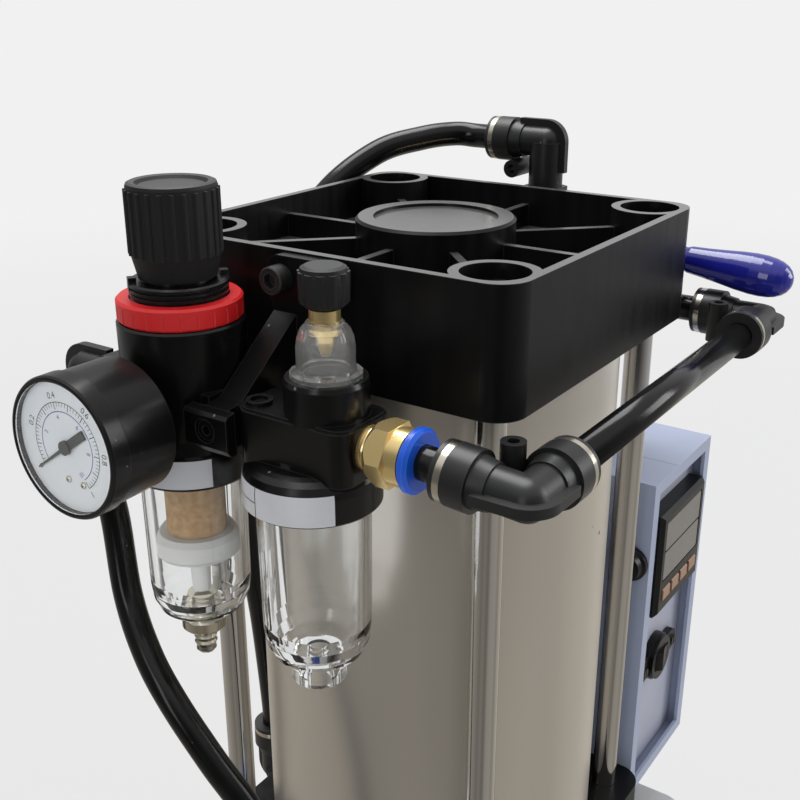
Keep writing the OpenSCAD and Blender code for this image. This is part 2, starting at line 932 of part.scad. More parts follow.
module regulator_body() {
  color(black)
    at_cap()
      translate([frl_x, reg_y, 0])
        difference() {
          union() {
            // bonnet thread, shoulder under the ring, body and bowl skirt
            rotate_extrude()
              polygon([
                [0, -6.4], [14.1, -6.4], [14.7, -6.9], [14.7, -7.6], [14, -8], [14.7, -8.4], [14.7, -9.1], [14, -9.5],
                [14.7, -9.9], [14.7, -10.6], [14, -11], [14.6, -11.5], [14.6, -18.1], [18.6, -18.1], [19.2, -18.7],
                [18.9, -52], [19.1, -56.4], [19.5, -57.2], [19.5, -66.8], [19, -67.6], [0, -67.6]
              ]);
            // spigot that guides the knob
            translate([0, 0, -7])
              cylinder(r = 10.1, h = 7.4);
            // two lock tabs on the rim of the thread
            for (a = [-35, 145])
              rotate(a)
                translate([12.4, -1.4, -9])
                  cube([2.4, 2.8, 4]);
            // port block of the inlet
            translate([0, 0, frl_z])
              side_block(10, 24, 30, 24);
            translate([-10, -19.1, frl_z - 7.4])
              cube([20, 10, 14.8]);
            // gauge port boss
            translate([0, 0, gauge_z])
              rotate([0, -90, 0])
                cylinder(r = 9, h = 21);
          }
          // bowl socket
          translate([0, 0, -68.6])
            cylinder(r = 16.9, h = 12);
          translate([0, 0, -68.6])
            cylinder(r = 11, h = 16);
          // air passage
          translate([0, -30, frl_z])
            rotate([-90, 0, 0])
              cylinder(d = 10, h = 66);
          translate([0, 12, frl_z])
            rotate([-90, 0, 0])
              cylinder(d = 13.1, h = 20);
          translate([-13, 0, gauge_z])
            rotate([0, -90, 0])
              cylinder(d = 9.9, h = 12);
          translate([0, 0, gauge_z])
            rotate([0, -90, 0])
              cylinder(d = 4, h = 14);
          // spindle bore
          translate([0, 0, -30])
            cylinder(d = 8.1, h = 40);
        }
}

gauge_z = -44.3;

module regulator_knob() {
  color(black)
    at_cap()
      translate([frl_x, reg_y, 0])
        difference() {
          union() {
            // dished top, straight grip and tapered foot
            rotate_extrude()
              polygon([
                [0, 21.3], [9.6, 21.1], [10.6, 22], [12, 22.3], [12.9, 21.9], [13.2, 21], [13.2, 1.5], [11.6, -5.5], [0, -5.5]
              ]);
            // raised grip ribs
            for (a = [0 : 15 : 345])
              rotate(a)
                translate([13.1, 0, 1.5])
                  cylinder(r = 0.75, h = 18.8, $fn = 16);
          }
          translate([0, 0, -6])
            cylinder(r = 10.25, h = 8.4);
        }
}

module regulator_ring() {
  color(red)
    at_cap()
      translate([frl_x, reg_y, 0])
        difference() {
          rotate_extrude()
            polygon([
              [14.9, -11.2], [18.1, -11.2], [18.8, -11.9], [18.8, -17.2], [18.2, -17.9], [14.9, -17.9]
            ]);
          // fine grip notches
          for (a = [0 : 15 : 345])
            rotate(a)
              translate([19.1, 0, -18.5])
                cylinder(r = 0.55, h = 5.6, $fn = 12);
        }
}

// clear bowl, open at the top, r0 at the mouth and r1 near the foot
module bowl(r0, r1, z0, z1, foot_r, foot_z) {
  rotate_extrude()
    polygon([
      [r0, z0], [r0, z0 - 10], [r1 + 0.4, z1 + 12], [r1 - 0.2, z1 + 7], [r1 - 2, z1 + 3], [r1 - 5, z1 + 0.6],
      [r1 - 7, z1], [foot_r, z1], [foot_r, foot_z + 1], [foot_r - 1, foot_z], [3.9, foot_z], [3.9, z1 + 3],
      [r1 - 8, z1 + 3], [r1 - 5, z1 + 5], [r1 - 3, z1 + 8.5], [r1 - 2.2, z1 + 13], [r0 - 2.4, z0 - 10], [r0 - 2.4, z0]
    ]);
}

module regulator_bowl() {
  color(clear)
    at_cap()
      translate([frl_x, reg_y, 0])
        bowl(16.6, 15.8, -57, -119, 7.6, -121.5);
}

module filter_element() {
  color([0.72, 0.55, 0.36])
    at_cap()
      translate([frl_x, reg_y, 0])
        difference() {
          cylinder_span(9.6, -88, -55);
          cylinder_span(6, -86, -54);
        }
}

module cylinder_span(r, z0, z1) {
  translate([0, 0, z0])
    cylinder(r = r, h = z1 - z0);
}

module bowl_baffle() {
  color([0.9, 0.9, 0.88])
    at_cap()
      translate([frl_x, reg_y, 0])
        rotate_extrude()
          polygon([
            [0, -88.3], [12, -88.3], [13.4, -90], [13.4, -95], [12.4, -96.5], [9, -97], [8, -98], [3.4, -99],
            [3, -111], [0, -111]
          ]);
}

module drain_valve() {
  color(steel)
    at_cap()
      translate([frl_x, reg_y, 0])
        difference() {
          rotate_extrude()
            polygon([
              [0, -112.5], [5, -112.5], [5.2, -113.5], [3.8, -114.2], [3.8, -121.8], [7.4, -121.8], [7.4, -125],
              [6, -126.4], [3.2, -127], [3.2, -128.6], [3.8, -129.4], [3.2, -130.8], [3.8, -131.6], [3.2, -133],
              [3.4, -134.4], [2.6, -135.4], [0, -135.4]
            ]);
          translate([0, 0, -136])
            cylinder(d = 2.4, h = 20);
        }
}

module lubricator_body() {
  color(black)
    at_cap()
      translate([frl_x, lub_y, 0])
        difference() {
          union() {
            // bowl skirt with its rounded shoulder
            rotate_extrude()
              polygon([
                [0, -51.6], [15.4, -51.6], [17.4, -52.2], [19.1, -53.4], [20.1, -55.2], [20.4, -57.2], [20.4, -64.5],
                [19.9, -65.1], [0, -65.1]
              ]);
            // body block with round upright corners
            translate([0, -0.9, -53.4])
              linear_extrude(16)
                round_square(24, 39, 5);
            translate([0, -0.9, -37.41])
              linear_extrude(0.8)
                round_square(22.6, 37.6, 4.4);
            // neck that meets the bracket
            translate([-9, 0, -53])
              cube([18, 20.4, 15.4]);
            // seat of the sight dome
            translate([0, dome_dy, -38])
              cylinder(r = 12.2, h = 10.6);
            translate([0, dome_dy, -27.41])
              cylinder(r1 = 12.2, r2 = 11.6, h = 1.4);
            // ring of the oil filling plug
            translate([-6.2, 13.6, -37.4])
              difference() {
                cylinder(r = 3.9, h = 2.2);
                translate([0, 0, 1])
                  cylinder(r = 2.7, h = 2);
                translate([0, 0, 0.2])
                  cylinder(d = 3, h = 3, $fn = 6);
              }
          }
          // bowl socket
          translate([0, 0, -66.1])
            cylinder(r = 17.4, h = 11);
          translate([0, 0, -66.1])
            cylinder(r = 12, h = 16);
          // air passage
          translate([0, -30, frl_z])
            rotate([-90, 0, 0])
              cylinder(d = 9, h = 66);
          translate([0, -21, frl_z])
            rotate([-90, 0, 0])
              cylinder(d = 13.1, h = 13);
          // dome socket
          translate([0, dome_dy, -32])
            cylinder(r = 9.9, h = 10);
        }
}

dome_dy = -6;

module lubricator_dome() {
  color(clear)
    at_cap()
      translate([frl_x, lub_y + dome_dy, 0])
        rotate_extrude()
          polygon([
            [9.6, -31.8], [9.6, -25.95], [10.2, -25.9], [10.2, -24.7], [8.6, -24.3], [8.3, -23.4], [8.3, -17.5], [7.9, -14.8],
            [7, -12.6], [5.8, -11.2], [5.2, -10.4], [4.55, -10.4], [4.55, -12.4], [5.6, -13.6], [6.4, -15.4], [6.7, -17.6],
            [6.8, -25], [6.8, -31.8]
          ]);
}

module lubricator_knob() {
  color(black)
    at_cap()
      translate([frl_x, lub_y + dome_dy, 0])
        difference() {
          union() {
            rotate_extrude()
              polygon([
                [0, 5.2], [5.2, 5.2], [6.3, 4.6], [6.8, 2.6], [6.9, 0.6], [6.7, -3], [6.3, -5.4], [5.8, -5.9], [0, -5.9]
              ]);
            // soft grip lobes
            for (a = [0 : 30 : 330])
              rotate(a)
                translate([5.6, 0, -4.8])
                  cylinder(r1 = 1.4, r2 = 1.6, h = 8.4, $fn = 24);
          }
          translate([0, 0, -8])
            cylinder(r = 2.45, h = 9);
        }
}

module lubricator_bowl() {
  color(clear)
    at_cap()
      translate([frl_x, lub_y, 0])
        bowl(17.1, 16.1, -55.5, -118.6, 8.6, -126.6);
}

module gauge_case() {
  r = gauge_d / 2;
  color(black)
    at_cap()
      translate([frl_x, reg_y, gauge_z])
        rotate([0, -90, 0])
          difference() {
            rotate_extrude()
              polygon([
                [0, 14], [4.9, 14], [4.9, 21.4], [7, 21.4], [7, 23], [r - 3, 23], [r - 0.9, 25], [r - 0.6, 42],
                [r, 42.6], [r, 47.8], [r - 0.4, 48.5], [r - 1, 48.7], [r - 1.6, 48.5], [r - 1.6, 45.2], [0, 45.2]
              ]);
            translate([0, 0, 13])
              cylinder(d = 2, h = 40);
          }
}

module gauge_dial() {
  color([0.93, 0.93, 0.92])
    at_cap()
      translate([frl_x - 45.4, reg_y, gauge_z])
        rotate([0, -90, 0])
          difference() {
            cylinder(r = gauge_d / 2 - 1.7, h = 0.6);
            translate([0, 0, -1])
              cylinder(d = 2.2, h = 3);
          }
}

module gauge_needle() {
  color(black)
    at_cap()
      translate([frl_x - 46.3, reg_y, gauge_z])
        rotate([0, -90, 0])
          rotate(needle_rest) {
            translate([0, 0, -0.6])
              cylinder(d = 1.8, h = 1.6);
            translate([0, 0, 0.2])
              cylinder(r = 2.1, h = 0.9);
            linear_extrude(0.5)
              polygon([
                [-9.6, -1.35], [-1.8, -1.35], [0.4, -0.6], [15.2, -0.22], [15.6, 0], [15.2, 0.22], [0.4, 0.6],
                [-1.8, 1.35], [-9.6, 1.35]
              ]);
          }
}

needle_rest = 125;

module gauge_lens() {
  color(clear)
    at_cap()
      translate([frl_x - 47.6, reg_y, gauge_z])
        rotate([0, -90, 0])
          cylinder(r = gauge_d / 2 - 1.7, h = 0.8);
}

// push-in fittings

hose_r = hose_d / 2;

// one leg of a push-in elbow along +Z, mouth ends at z = 24.8
module leg() {
  difference() {
    union() {
      cylinder(r = hose_r + 1.2, h = 10.6);
      translate([0, 0, 9.6])
        cylinder(r1 = hose_r + 1.8, r2 = hose_r + 2.6, h = 4.9);
      translate([0, 0, 14.2])
        cylinder(r = hose_r + 3.9, h = 7);
      translate([0, 0, 21])
        cylinder(r = hose_r + 2.7, h = 2.6);
      translate([0, 0, 23.4])
        cylinder(r = hose_r + 3.7, h = 1.4);
    }
    translate([0, 0, 12])
      cylinder(r = hose_r + run, h = 14);
    cylinder(r = hose_r - 1.5, h = 14);
  }
}

module leg_ring() {
  translate([0, 0, 21.3])
    difference() {
      cylinder(r = hose_r + 3.8, h = 2);
      translate([0, 0, -1])
        cylinder(r = hose_r + 2.7, h = 4);
    }
}

// corner of an elbow with legs along +X and +Y, thin web around the outside
module bend() {
  sphere(r = hose_r + 1.2);
  linear_extrude(3, center = true) {
    circle(r = hose_r + 4);
    translate([-hose_r - 4, 0])
      square([hose_r + 4, 12]);
    translate([0, -hose_r - 4])
      square([12, hose_r + 4]);
  }
}

// plain stem along +Z that screws or plugs into a port
module stem(len, collar) {
  difference() {
    union() {
      cylinder(r = hose_r + 2, h = collar);
      translate([0, 0, collar - 0.01])
        cylinder(r = 6.45, h = len - collar);
      translate([0, 0, collar - 8])
        cylinder(r = hose_r + 4.2, h = 8, $fn = 6);
    }
    cylinder(r = hose_r - 1.5, h = len + 1);
  }
}

module lug(h) {
  difference() {
    cylinder(r = 3.6, h = h, center = true);
    cylinder(r = 1.8, h = h + 2, center = true);
  }
}

// seats: place children at each elbow corner
module at_front_left() {
  translate([frl_x, line_y, port_z])
    children();
}

module at_front_right() {
  translate([valve_x - 2, line_y, port_z])
    children();
}

module at_valve_top() {
  translate([valve_x, 8, 13])
    children();
}

module at_low_port() {
  translate([0, half + 19, -head_l + gap + 20])
    children();
}

module at_inlet() {
  translate([frl_x, reg_y + 45.7, frl_z])
    children();
}

module fitting_bodies() {
  color(black)
    at_cap() {
      at_front_left() {
        bend();
        rotate([line_tilt - 90, 0, 0])
          leg();
        rotate([0, 90, 0])
          leg();
        translate([12.4, 11.2, 1])
          lug(16);
      }
      at_front_right() {
        mirror([1, 0, 0])
          bend();
        rotate([-90, 0, 0])
          leg();
        rotate([0, -90, 0])
          leg();
        translate([-12.6, 12.4, 0.4])
          lug(15);
        translate([6, 0, 0])
          rotate([0, 90, 0])
            cylinder(r1 = 4.6, r2 = 2.2, h = 7);
      }
      at_valve_top() {
        rotate([0, 90, 0])
          bend();
        rotate([-90, 0, 0])
          leg();
        mirror([0, 0, 1])
          stem(33, 26);
        translate([0, 12.2, -11.2])
          rotate([0, 90, 0])
            lug(15);
      }
      at_low_port() {
        rotate([0, -90, 0])
          mirror([0, 1, 0])
            bend();
        leg();
        rotate([90, 0, 0])
          stem(31, 18.8);
        translate([0, -11.2, 12.2])
          rotate([0, 90, 0])
            lug(15);
      }
      at_inlet() {
        rotate([0, 90, 0])
          mirror([0, 1, 0])
            bend();
        mirror([0, 0, 1])
          leg();
        rotate([90, 0, 0])
          stem(32.2, 21.4);
      }
      // bulkhead elbow of the supply hose, open socket towards -X under the plate
      translate([supply_x, supply_y, -head_l])
        difference() {
          union() {
            translate([0, 0, gap])
              cylinder(d = 22 / cos(30), h = 7, $fn = 6);
            translate([0, 0, 7])
              cylinder(r = hose_r + 4, h = 9);
            translate([0, 0, -plate_t - 16])
              cylinder(d = 15, h = plate_t + 17);
            translate([0, 0, -plate_t - gap - 7])
              cylinder(d = 22 / cos(30), h = 7, $fn = 6);
            translate([0, 0, -plate_t - 16]) {
              sphere(r = 7.5);
              rotate([0, -90, 0]) {
                cylinder(r = 7.5, h = 11);
                translate([0, 0, 10])
                  cylinder(r1 = 7.6, r2 = hose_r + 3.9, h = 2);
                translate([0, 0, 11.9])
                  cylinder(r = hose_r + 3.9, h = 12.4);
                translate([0, 0, 24])
                  cylinder(r = hose_r + 3.2, h = 1.5);
              }
            }
          }
          translate([0, 0, -plate_t - 16])
            rotate([0, -90, 0]) {
              cylinder(r = hose_r - 1.5, h = 16);
              translate([0, 0, 13])
                cylinder(r = hose_r + 0.2, h = 14);
            }
          translate([0, 0, -2])
            cylinder(r = hose_r + run, h = 20);
          translate([0, 0, 9])
            cylinder(r = hose_r + 1.9, h = 10);
          translate([0, 0, -plate_t - 16])
            cylinder(r = hose_r - 1.5, h = plate_t + 26);
        }
    }
}

module fitting_rings() {
  color(steel)
    at_cap() {
      at_front_left() {
        rotate([line_tilt - 90, 0, 0])
          leg_ring();
        rotate([0, 90, 0])
          leg_ring();
      }
      at_front_right() {
        rotate([-90, 0, 0])
          leg_ring();
        rotate([0, -90, 0])
          leg_ring();
      }
      at_valve_top()
        rotate([-90, 0, 0])
          leg_ring();
      at_low_port()
        leg_ring();
      at_inlet()
        mirror([0, 0, 1])
          leg_ring();
    }
}

module brass_fittings() {
  color(brass)
    at_cap() {
      // drip stem seen through the sight dome
      translate([frl_x, lub_y + dome_dy, 0])
        rotate_extrude()
          polygon([
            [0, 0.6], [2.4, 0.6], [2.4, -6.4], [4.4, -6.8], [4.4, -13.6], [2.8, -14], [2.8, -16], [1.4, -20],
            [0, -20]
          ]);
      // straight connector on the lubricator outlet
      translate([frl_x, lub_y - 20.4 - gap, frl_z])
        rotate([90, 0, 0])
          difference() {
            union() {
              translate([0, 0, -11.5])
                cylinder(d = 13, h = 12);
              cylinder(d = 12.2, h = 3.2);
              translate([0, 0, 1.4])
                cylinder(d1 = 13.2, d2 = 12.6, h = 0.8);
              translate([0, 0, 3])
                intersection() {
                  cylinder(d = 17 / cos(30), h = 6.6, $fn = 6);
                  cylinder(d1 = 16.4, d2 = 26, h = 6.6);
                }
              translate([0, 0, 9.5])
                cylinder(r = 8.4, h = 4.5);
            }
            translate([0, 0, -12])
              cylinder(r = hose_r - 1.5, h = 20);
            translate([0, 0, 3])
              cylinder(r = hose_r + 1.9, h = 24);
          }
      // nipple between the cap port and the hand valve
      translate([half - 12, 0, -cap_h + 13])
        rotate([0, 90, 0])
          difference() {
            union() {
              cylinder(d = 13, h = 12 + 14 - gap + 8);
              translate([0, 0, 12 + gap])
                cylinder(d = 17 / cos(30), h = 14 - 3 * gap, $fn = 6);
            }
            translate([0, 0, -1])
              cylinder(d = 7, h = 40);
          }
    }
}

module blue_collets() {
  color(blue)
    at_cap()
      for (p = [[frl_x, lub_y - 34.8, frl_z], [supply_x, supply_y, -head_l + 16 + gap]])
        translate(p)
          rotate(p[1] < -20 ? [90, 0, 0] : [0, 0, 0])
            difference() {
              union() {
                translate([0, 0, -6])
                  cylinder(r = hose_r + 1.7, h = 6.5);
                rotate_extrude()
                  polygon([
                    [hose_r + 0.05, 0], [hose_r + 3.2, 0], [hose_r + 4.3, 0.9], [hose_r + 4.3, 2.4], [hose_r + 3.4, 3.4],
                    [hose_r + 0.05, 3.4]
                  ]);
              }
              translate([0, 0, -10])
                cylinder(r = hose_r + run, h = 20);
            }
}

supply_x = frl_x - 4;
supply_y = -6;
line_tilt = 4.2;
kink_y = line_y + (frl_z - port_z) / tan(line_tilt);

function rear_points() = [
  [valve_x, 8 + 13, 13], [valve_x, 8 + 25, 13], [valve_x, 8 + 34, 13], [valve_x - 4, 50, 13.6], [valve_x - 16, 59, 12.4],
  [valve_x - 34, 70, 7.6], [valve_x - 56, half + 13, -8], [valve_x - 78, half + 18, -34], [4, half + 19, -70],
  [-8, half + 19, -110], [-9, half + 19, -150], [-4, half + 19, -190], [0, half + 19, -head_l + gap + 56],
  [0, half + 19, -head_l + gap + 44], [0, half + 19, -head_l + gap + 33]
];

function supply_points() = let (y = reg_y + 45.7) [
  [frl_x, y, frl_z - 13], [frl_x, y, frl_z - 25], [frl_x, y - 0.2, frl_z - 33], [frl_x + 1.4, y - 4, frl_z - 53],
  [frl_x - 3, reg_y + 33.7, frl_z - 80], [frl_x - 8.5, reg_y + 20.2, frl_z - 96], [frl_x - 11, reg_y + 6.7, frl_z - 109],
  [frl_x - 10.2, reg_y - 9.3, frl_z - 127], [frl_x - 8, reg_y - 21.3, frl_z - 142], [frl_x - 6, reg_y - 31, frl_z - 162],
  [supply_x - 1.2, supply_y + 1, -head_l + 64], [supply_x, supply_y, -head_l + 42], [supply_x, supply_y, -head_l + 25],
  [supply_x, supply_y, -head_l + 12], [supply_x, supply_y, -head_l + 1]
];

module hose_piece(a, b) {
  v = b - a;
  translate(a)
    rotate([0, acos(v[2] / norm(v)), atan2(v[1], v[0])])
      cylinder(r = hose_r, h = norm(v));
}

module air_hoses() {
  color(black)
    at_cap() {
      // the piece at the air unit rises towards the lubricator and bends at the collet
      sweep([
        [frl_x, line_y + 13 * cos(line_tilt), port_z + 13 * sin(line_tilt)], [frl_x, kink_y, frl_z], [frl_x, lub_y - 25, frl_z]
      ], hose_r, [1, 0, 0], 24);
      hose_piece([frl_x + 13, line_y, port_z], [valve_x - 2 - 13, line_y, port_z]);
      hose_piece([valve_x - 2, line_y + 13, port_z], [valve_x - 2, -46, port_z]);
      sweep(smooth(rear_points(), 3), hose_r, [0, 0, 1]);
      sweep(smooth(supply_points(), 3), hose_r, [1, 0, 0]);
    }
}

// hand valve

valve_y0 = -35;
lever_y = -43;
lever_z = -25;

module valve_body() {
  x0 = half + 14;
  color(dark)
    at_cap()
      difference() {
        union() {
          translate([x0, valve_y0, -62])
            cube([30, 80, 48]);
          // two ears that carry the lever pin
          for (s = [-1, 1])
            translate([valve_x + s * 8.5 - 2.5, lever_y, lever_z])
              rotate([0, 90, 0]) {
                cylinder(r = 6, h = 5);
                translate([-6, 0, 0])
                  cube([12, valve_y0 - lever_y + 1, 5]);
              }
          translate([valve_x - 11, lever_y, lever_z])
            rotate([0, 90, 0])
              cylinder(d = 4.9, h = 22);
          // square collar of the supply port
          translate([valve_x - 2, valve_y0, port_z - 1])
            rotate([90, 0, 0])
              cylinder(r = hose_r + 3.2, h = 13);
        }
        // spool bore
        translate([valve_x, valve_y0 - 1, lever_z - 10.4])
          rotate([-90, 0, 0])
            cylinder(d = 6.4 + 2 * run, h = 76);
        translate([valve_x - 2, valve_y0 + 20, port_z - 1])
          rotate([90, 0, 0])
            cylinder(r = hose_r - 1.5, h = 40);
        translate([valve_x - 2, valve_y0 - 2, port_z - 1])
          rotate([90, 0, 0])
            cylinder(r = hose_r + 1.2, h = 12);
        // side port toward the cap
        translate([x0 - 1, 0, -cap_h + 13])
          rotate([0, 90, 0])
            cylinder(d = 13.1, h = 10);
        // top port of the elbow
        translate([valve_x, 8, -21])
          cylinder(d = 13.1, h = 12);
        // exhaust ports on the outer side
        for (y = [-14, 26])
          translate([x0 + 22, y, -46])
            rotate([0, 90, 0])
              cylinder(d = 9, h = 10);
      }
}

module valve_spool() {
  color(steel)
    at_cap()
      translate([valve_x, valve_y0 - 7, lever_z - 10.4])
        rotate([-90, 0, 0])
          difference() {
            union() {
              translate([0, 0, -8])
                cylinder(d = 6.3, h = 14);
              cylinder(d = 3.6, h = 70);
              for (z = [13, 30, 47, 62])
                translate([0, 0, z])
                  cylinder(d = 6.4, h = 8);
            }
            // window for the lever tongue
            translate([-2.2, -10, -4.6])
              cube([4.4, 20, 7.2]);
          }
}

module valve_lever() {
  color(blue)
    at_cap()
      translate([valve_x, lever_y, lever_z])
        difference() {
          union() {
            rotate([0, 90, 0])
              cylinder(r = 5.4, h = 11, center = true);
            // tongue that works the spool
            translate([-1.9, -1.2, -13.2])
              cube([3.8, 2.4, 12.2]);
            translate([0, -8, -1.2])
              rotate([96, 0, 0])
                cylinder(r = 3.8, h = 14, center = true);
            // grip, drooping a little and thickest past its middle
            translate([0, -14, -2.6])
              rotate([90, 0, 0])
                rotate([4.6, 0, 0])
                  rotate_extrude()
                    polygon([
                      [0, -2], [4.6, -2], [5.3, 0], [5.8, 6], [6.6, 13], [7.5, 20], [7.9, grip_len - 21], [7.9, grip_len - 17],
                      [7.5, grip_len - 13.6], [6.8, grip_len - 11], [5.7, grip_len - 8.8], [4.2, grip_len - 7.2],
                      [2.4, grip_len - 6.2], [1.1, grip_len - 5.9], [0, grip_len - 5.8]
                    ]);
          }
          rotate([0, 90, 0])
            cylinder(d = 5, h = 30, center = true);
        }
}

// control box

module box_shell() {
  bracket_channel();
  color(slate)
    at_cap()
      translate([box_x, box_front, box_top - box_h])
        difference() {
          cube([box_w, box_d, box_h]);
          translate([wall, wall, wall])
            cube([box_w - 2 * wall, box_d - 2 * wall, box_h - 2 * wall]);
          // framed front opening with a narrow folded lip
          translate([5.5, -1, 5.5])
            cube([box_w - 11, 4, box_h - 11]);
          // seam between the two folded halves
          translate([24, -1, box_h - 0.4])
            cube([0.4, box_d + 2, 1]);
          translate([-1, 8, box_h - 36.6])
            rotate([0, 90, 0])
              cylinder(d = 10.1, h = 6);
          // back openings: mains inlet and two lead glands
          translate([box_w / 2 - 13.7, box_d - 3, box_h - 110])
            cube([27.4, 6, 20]);
          for (x = [16, box_w - 16])
            translate([x, box_d - 3, 30])
              rotate([-90, 0, 0])
                cylinder(d = 10.1, h = 6);
          // screw holes of the bracket
          for (y = [-30, 20])
            translate([20, y - box_front, -1])
              cylinder(d = 5.4, h = 5);
        }
}

module bracket_channel() {
  z0 = -head_l + gap;
  h = head_l + box_top - box_h - 2 * gap;
  color(slate)
    at_cap()
      translate([box_x + 4, -46, z0])
        difference() {
          cube([32, 76, h]);
          translate([2, -1, 2])
            cube([28, 78, h - 4]);
          for (y = [16, 66])
            translate([16, y, -1])
              cylinder(d = 5.4, h = h + 2);
        }
}

module box_panel() {
  px = box_w - 2 * wall - 1;
  pz = box_h - 2 * wall - 1;
  color([0.68, 0.7, 0.76])
    at_cap()
      translate([box_x + box_w / 2 - px / 2, panel_y - 0.3, box_top - box_h / 2 - pz / 2])
        difference() {
          cube([px, 1.5, pz]);
          translate([ctrl_x - ctrl_s / 2 + 1.4, -1, ctrl_rel - ctrl_s / 2 + 1.4])
            translate([-(box_x + box_w / 2 - px / 2), 0, -(box_top - box_h / 2 - pz / 2)])
              cube([ctrl_s - 2.8, 4, ctrl_s - 2.8]);
          translate([sw_x - (box_x + box_w / 2 - px / 2), 3, sw_rel - (box_top - box_h / 2 - pz / 2)])
            rotate([90, 0, 0]) {
              cylinder(d = 19.6, h = 6);
              for (s = [-1, 1])
                translate([s * 16, 0, 0])
                  cylinder(d = 3.3, h = 6);
            }
        }
}

ctrl_x = box_x + box_w / 2 + 0.4;
ctrl_rel = box_top - 41;
sw_x = box_x + 28.5;
sw_rel = box_top - 96.5;
panel_f = panel_y - 0.3;

module controller() {
  s = ctrl_s;
  color(black)
    at_cap()
      translate([ctrl_x, panel_f, ctrl_rel])
        difference() {
          union() {
            translate([-s / 2, -8, -s / 2])
              cube([s, 8 - gap, s]);
            translate([-s / 2 + 1.6, -1, -s / 2 + 1.6])
              cube([s - 3.2, 70, s - 3.2]);
          }
          // slanted outer edge of the bezel
          for (a = [0 : 90 : 270])
            rotate([0, a, 0])
              translate([0, -8, s / 2])
                rotate([45, 0, 0])
                  cube([s + 4, 2.4, 2.4], center = true);
          // window of the two line display
          translate([-s / 2 + 4, -9, -8])
            cube([s - 8, 1.5, s - 20]);
          for (k = [0 : 3])
            translate([key_x(k) - 3.85, -9, -s / 2 + 6.05])
              cube([7.7, 6, 5.9]);
        }
}

function key_x(k) = (k - 1.5) * (ctrl_s - 8) / 4;

module key(k) {
  color([0.85, 0.45, 0.2])
    at_cap()
      translate([ctrl_x + key_x(k), panel_f, ctrl_rel - ctrl_s / 2 + 9])
        difference() {
          translate([-3.75, -8.5, -2.85])
            cube([7.5, 4.3, 5.7]);
          for (s = [-1, 1])
            translate([0, -8.5, s * 2.85])
              rotate([45, 0, 0])
                cube([10, 0.8, 0.8], center = true);
        }
}

module key_1() {
  key(0);
}

module key_2() {
  key(1);
}

module key_3() {
  key(2);
}

module key_4() {
  key(3);
}

module switch_body() {
  color(black)
    at_cap()
      translate([sw_x, panel_f - gap, sw_rel])
        rotate([90, 0, 0]) {
          difference() {
            union() {
              linear_extrude(3) {
                square([32, 10.4], center = true);
                circle(r = 11);
                for (s = [-1, 1])
                  translate([s * 16, 0])
                    circle(r = 5.2);
              }
              cylinder(r = 10.2, h = 4.8);
              translate([0, 0, -20])
                cylinder(d = 19, h = 21);
            }
            translate([-7.2, -4.6, -9])
              cube([14.4, 9.2, 14]);
            for (s = [-1, 1])
              translate([s * 16, 0, -1])
                cylinder(d = 3.3, h = 5);
          }
          for (s = [-1, 1])
            translate([s * 16, 0, 0]) {
              translate([0, 0, -4])
                cylinder(d = 3, h = 7.2);
              translate([0, 0, 3])
                difference() {
                  cylinder(r1 = 2.9, r2 = 2.2, h = 1.3);
                  translate([-0.4, -4, 0.6])
                    cube([0.8, 8, 2]);
                }
            }
        }
}

module switch_rocker() {
  color(black)
    at_cap()
      translate([sw_x, panel_f - gap, sw_rel])
        rotate([90, 0, 0])
          translate([0, 0, 0.8])
            rotate([0, 11, 0])
              intersection() {
                rotate([90, 0, 0])
                  cylinder(r = 6.9, h = 8.8, center = true);
                difference() {
                  translate([-8, -5, -6])
                    cube([16, 10, 12.4]);
                  translate([0, 6, 25.4])
                    rotate([90, 0, 0])
                      cylinder(r = 20.4, h = 12);
                }
              }
}

// cable glands and the mains inlet of the box
module box_outlets() {
  color(black)
    at_cap() {
      translate([box_x, box_front + 8, box_top - 36.6])
        rotate([0, -90, 0])
          rotate_extrude()
            polygon([
              [0, -1.7], [5, -1.7], [5, gap], [7.6, gap], [7.6, 2.4], [6.4, 3.4], [6, 6.2], [4.6, 6.8], [0, 6.8]
            ]);
      for (x = [16, box_w - 16])
        translate([box_x + x, box_front + box_d, box_top - box_h + 30])
          rotate([-90, 0, 0])
            difference() {
              union() {
                translate([0, 0, gap])
                  cylinder(r = 8.4, h = 5, $fn = 6);
                translate([0, 0, 5])
                  cylinder(r1 = 7.4, r2 = 5.6, h = 9);
                translate([0, 0, -8])
                  cylinder(d = 10, h = 9);
                translate([0, 0, -wall - gap - 3])
                  cylinder(r = 8.4, h = 3, $fn = 6);
              }
              translate([0, 0, -9])
                cylinder(d = 6, h = 30);
            }
      translate([box_x + box_w / 2, box_front + box_d + gap, box_top - 100])
        rotate([-90, 0, 0])
          difference() {
            union() {
              translate([-13.5, -9.8, -20])
                cube([27, 19.6, 21]);
              linear_extrude(2.6)
                round_square(34, 24, 3);
            }
            translate([-11.6, -7.6, -12])
              cube([23.2, 15.2, 20]);
          }
    }
}

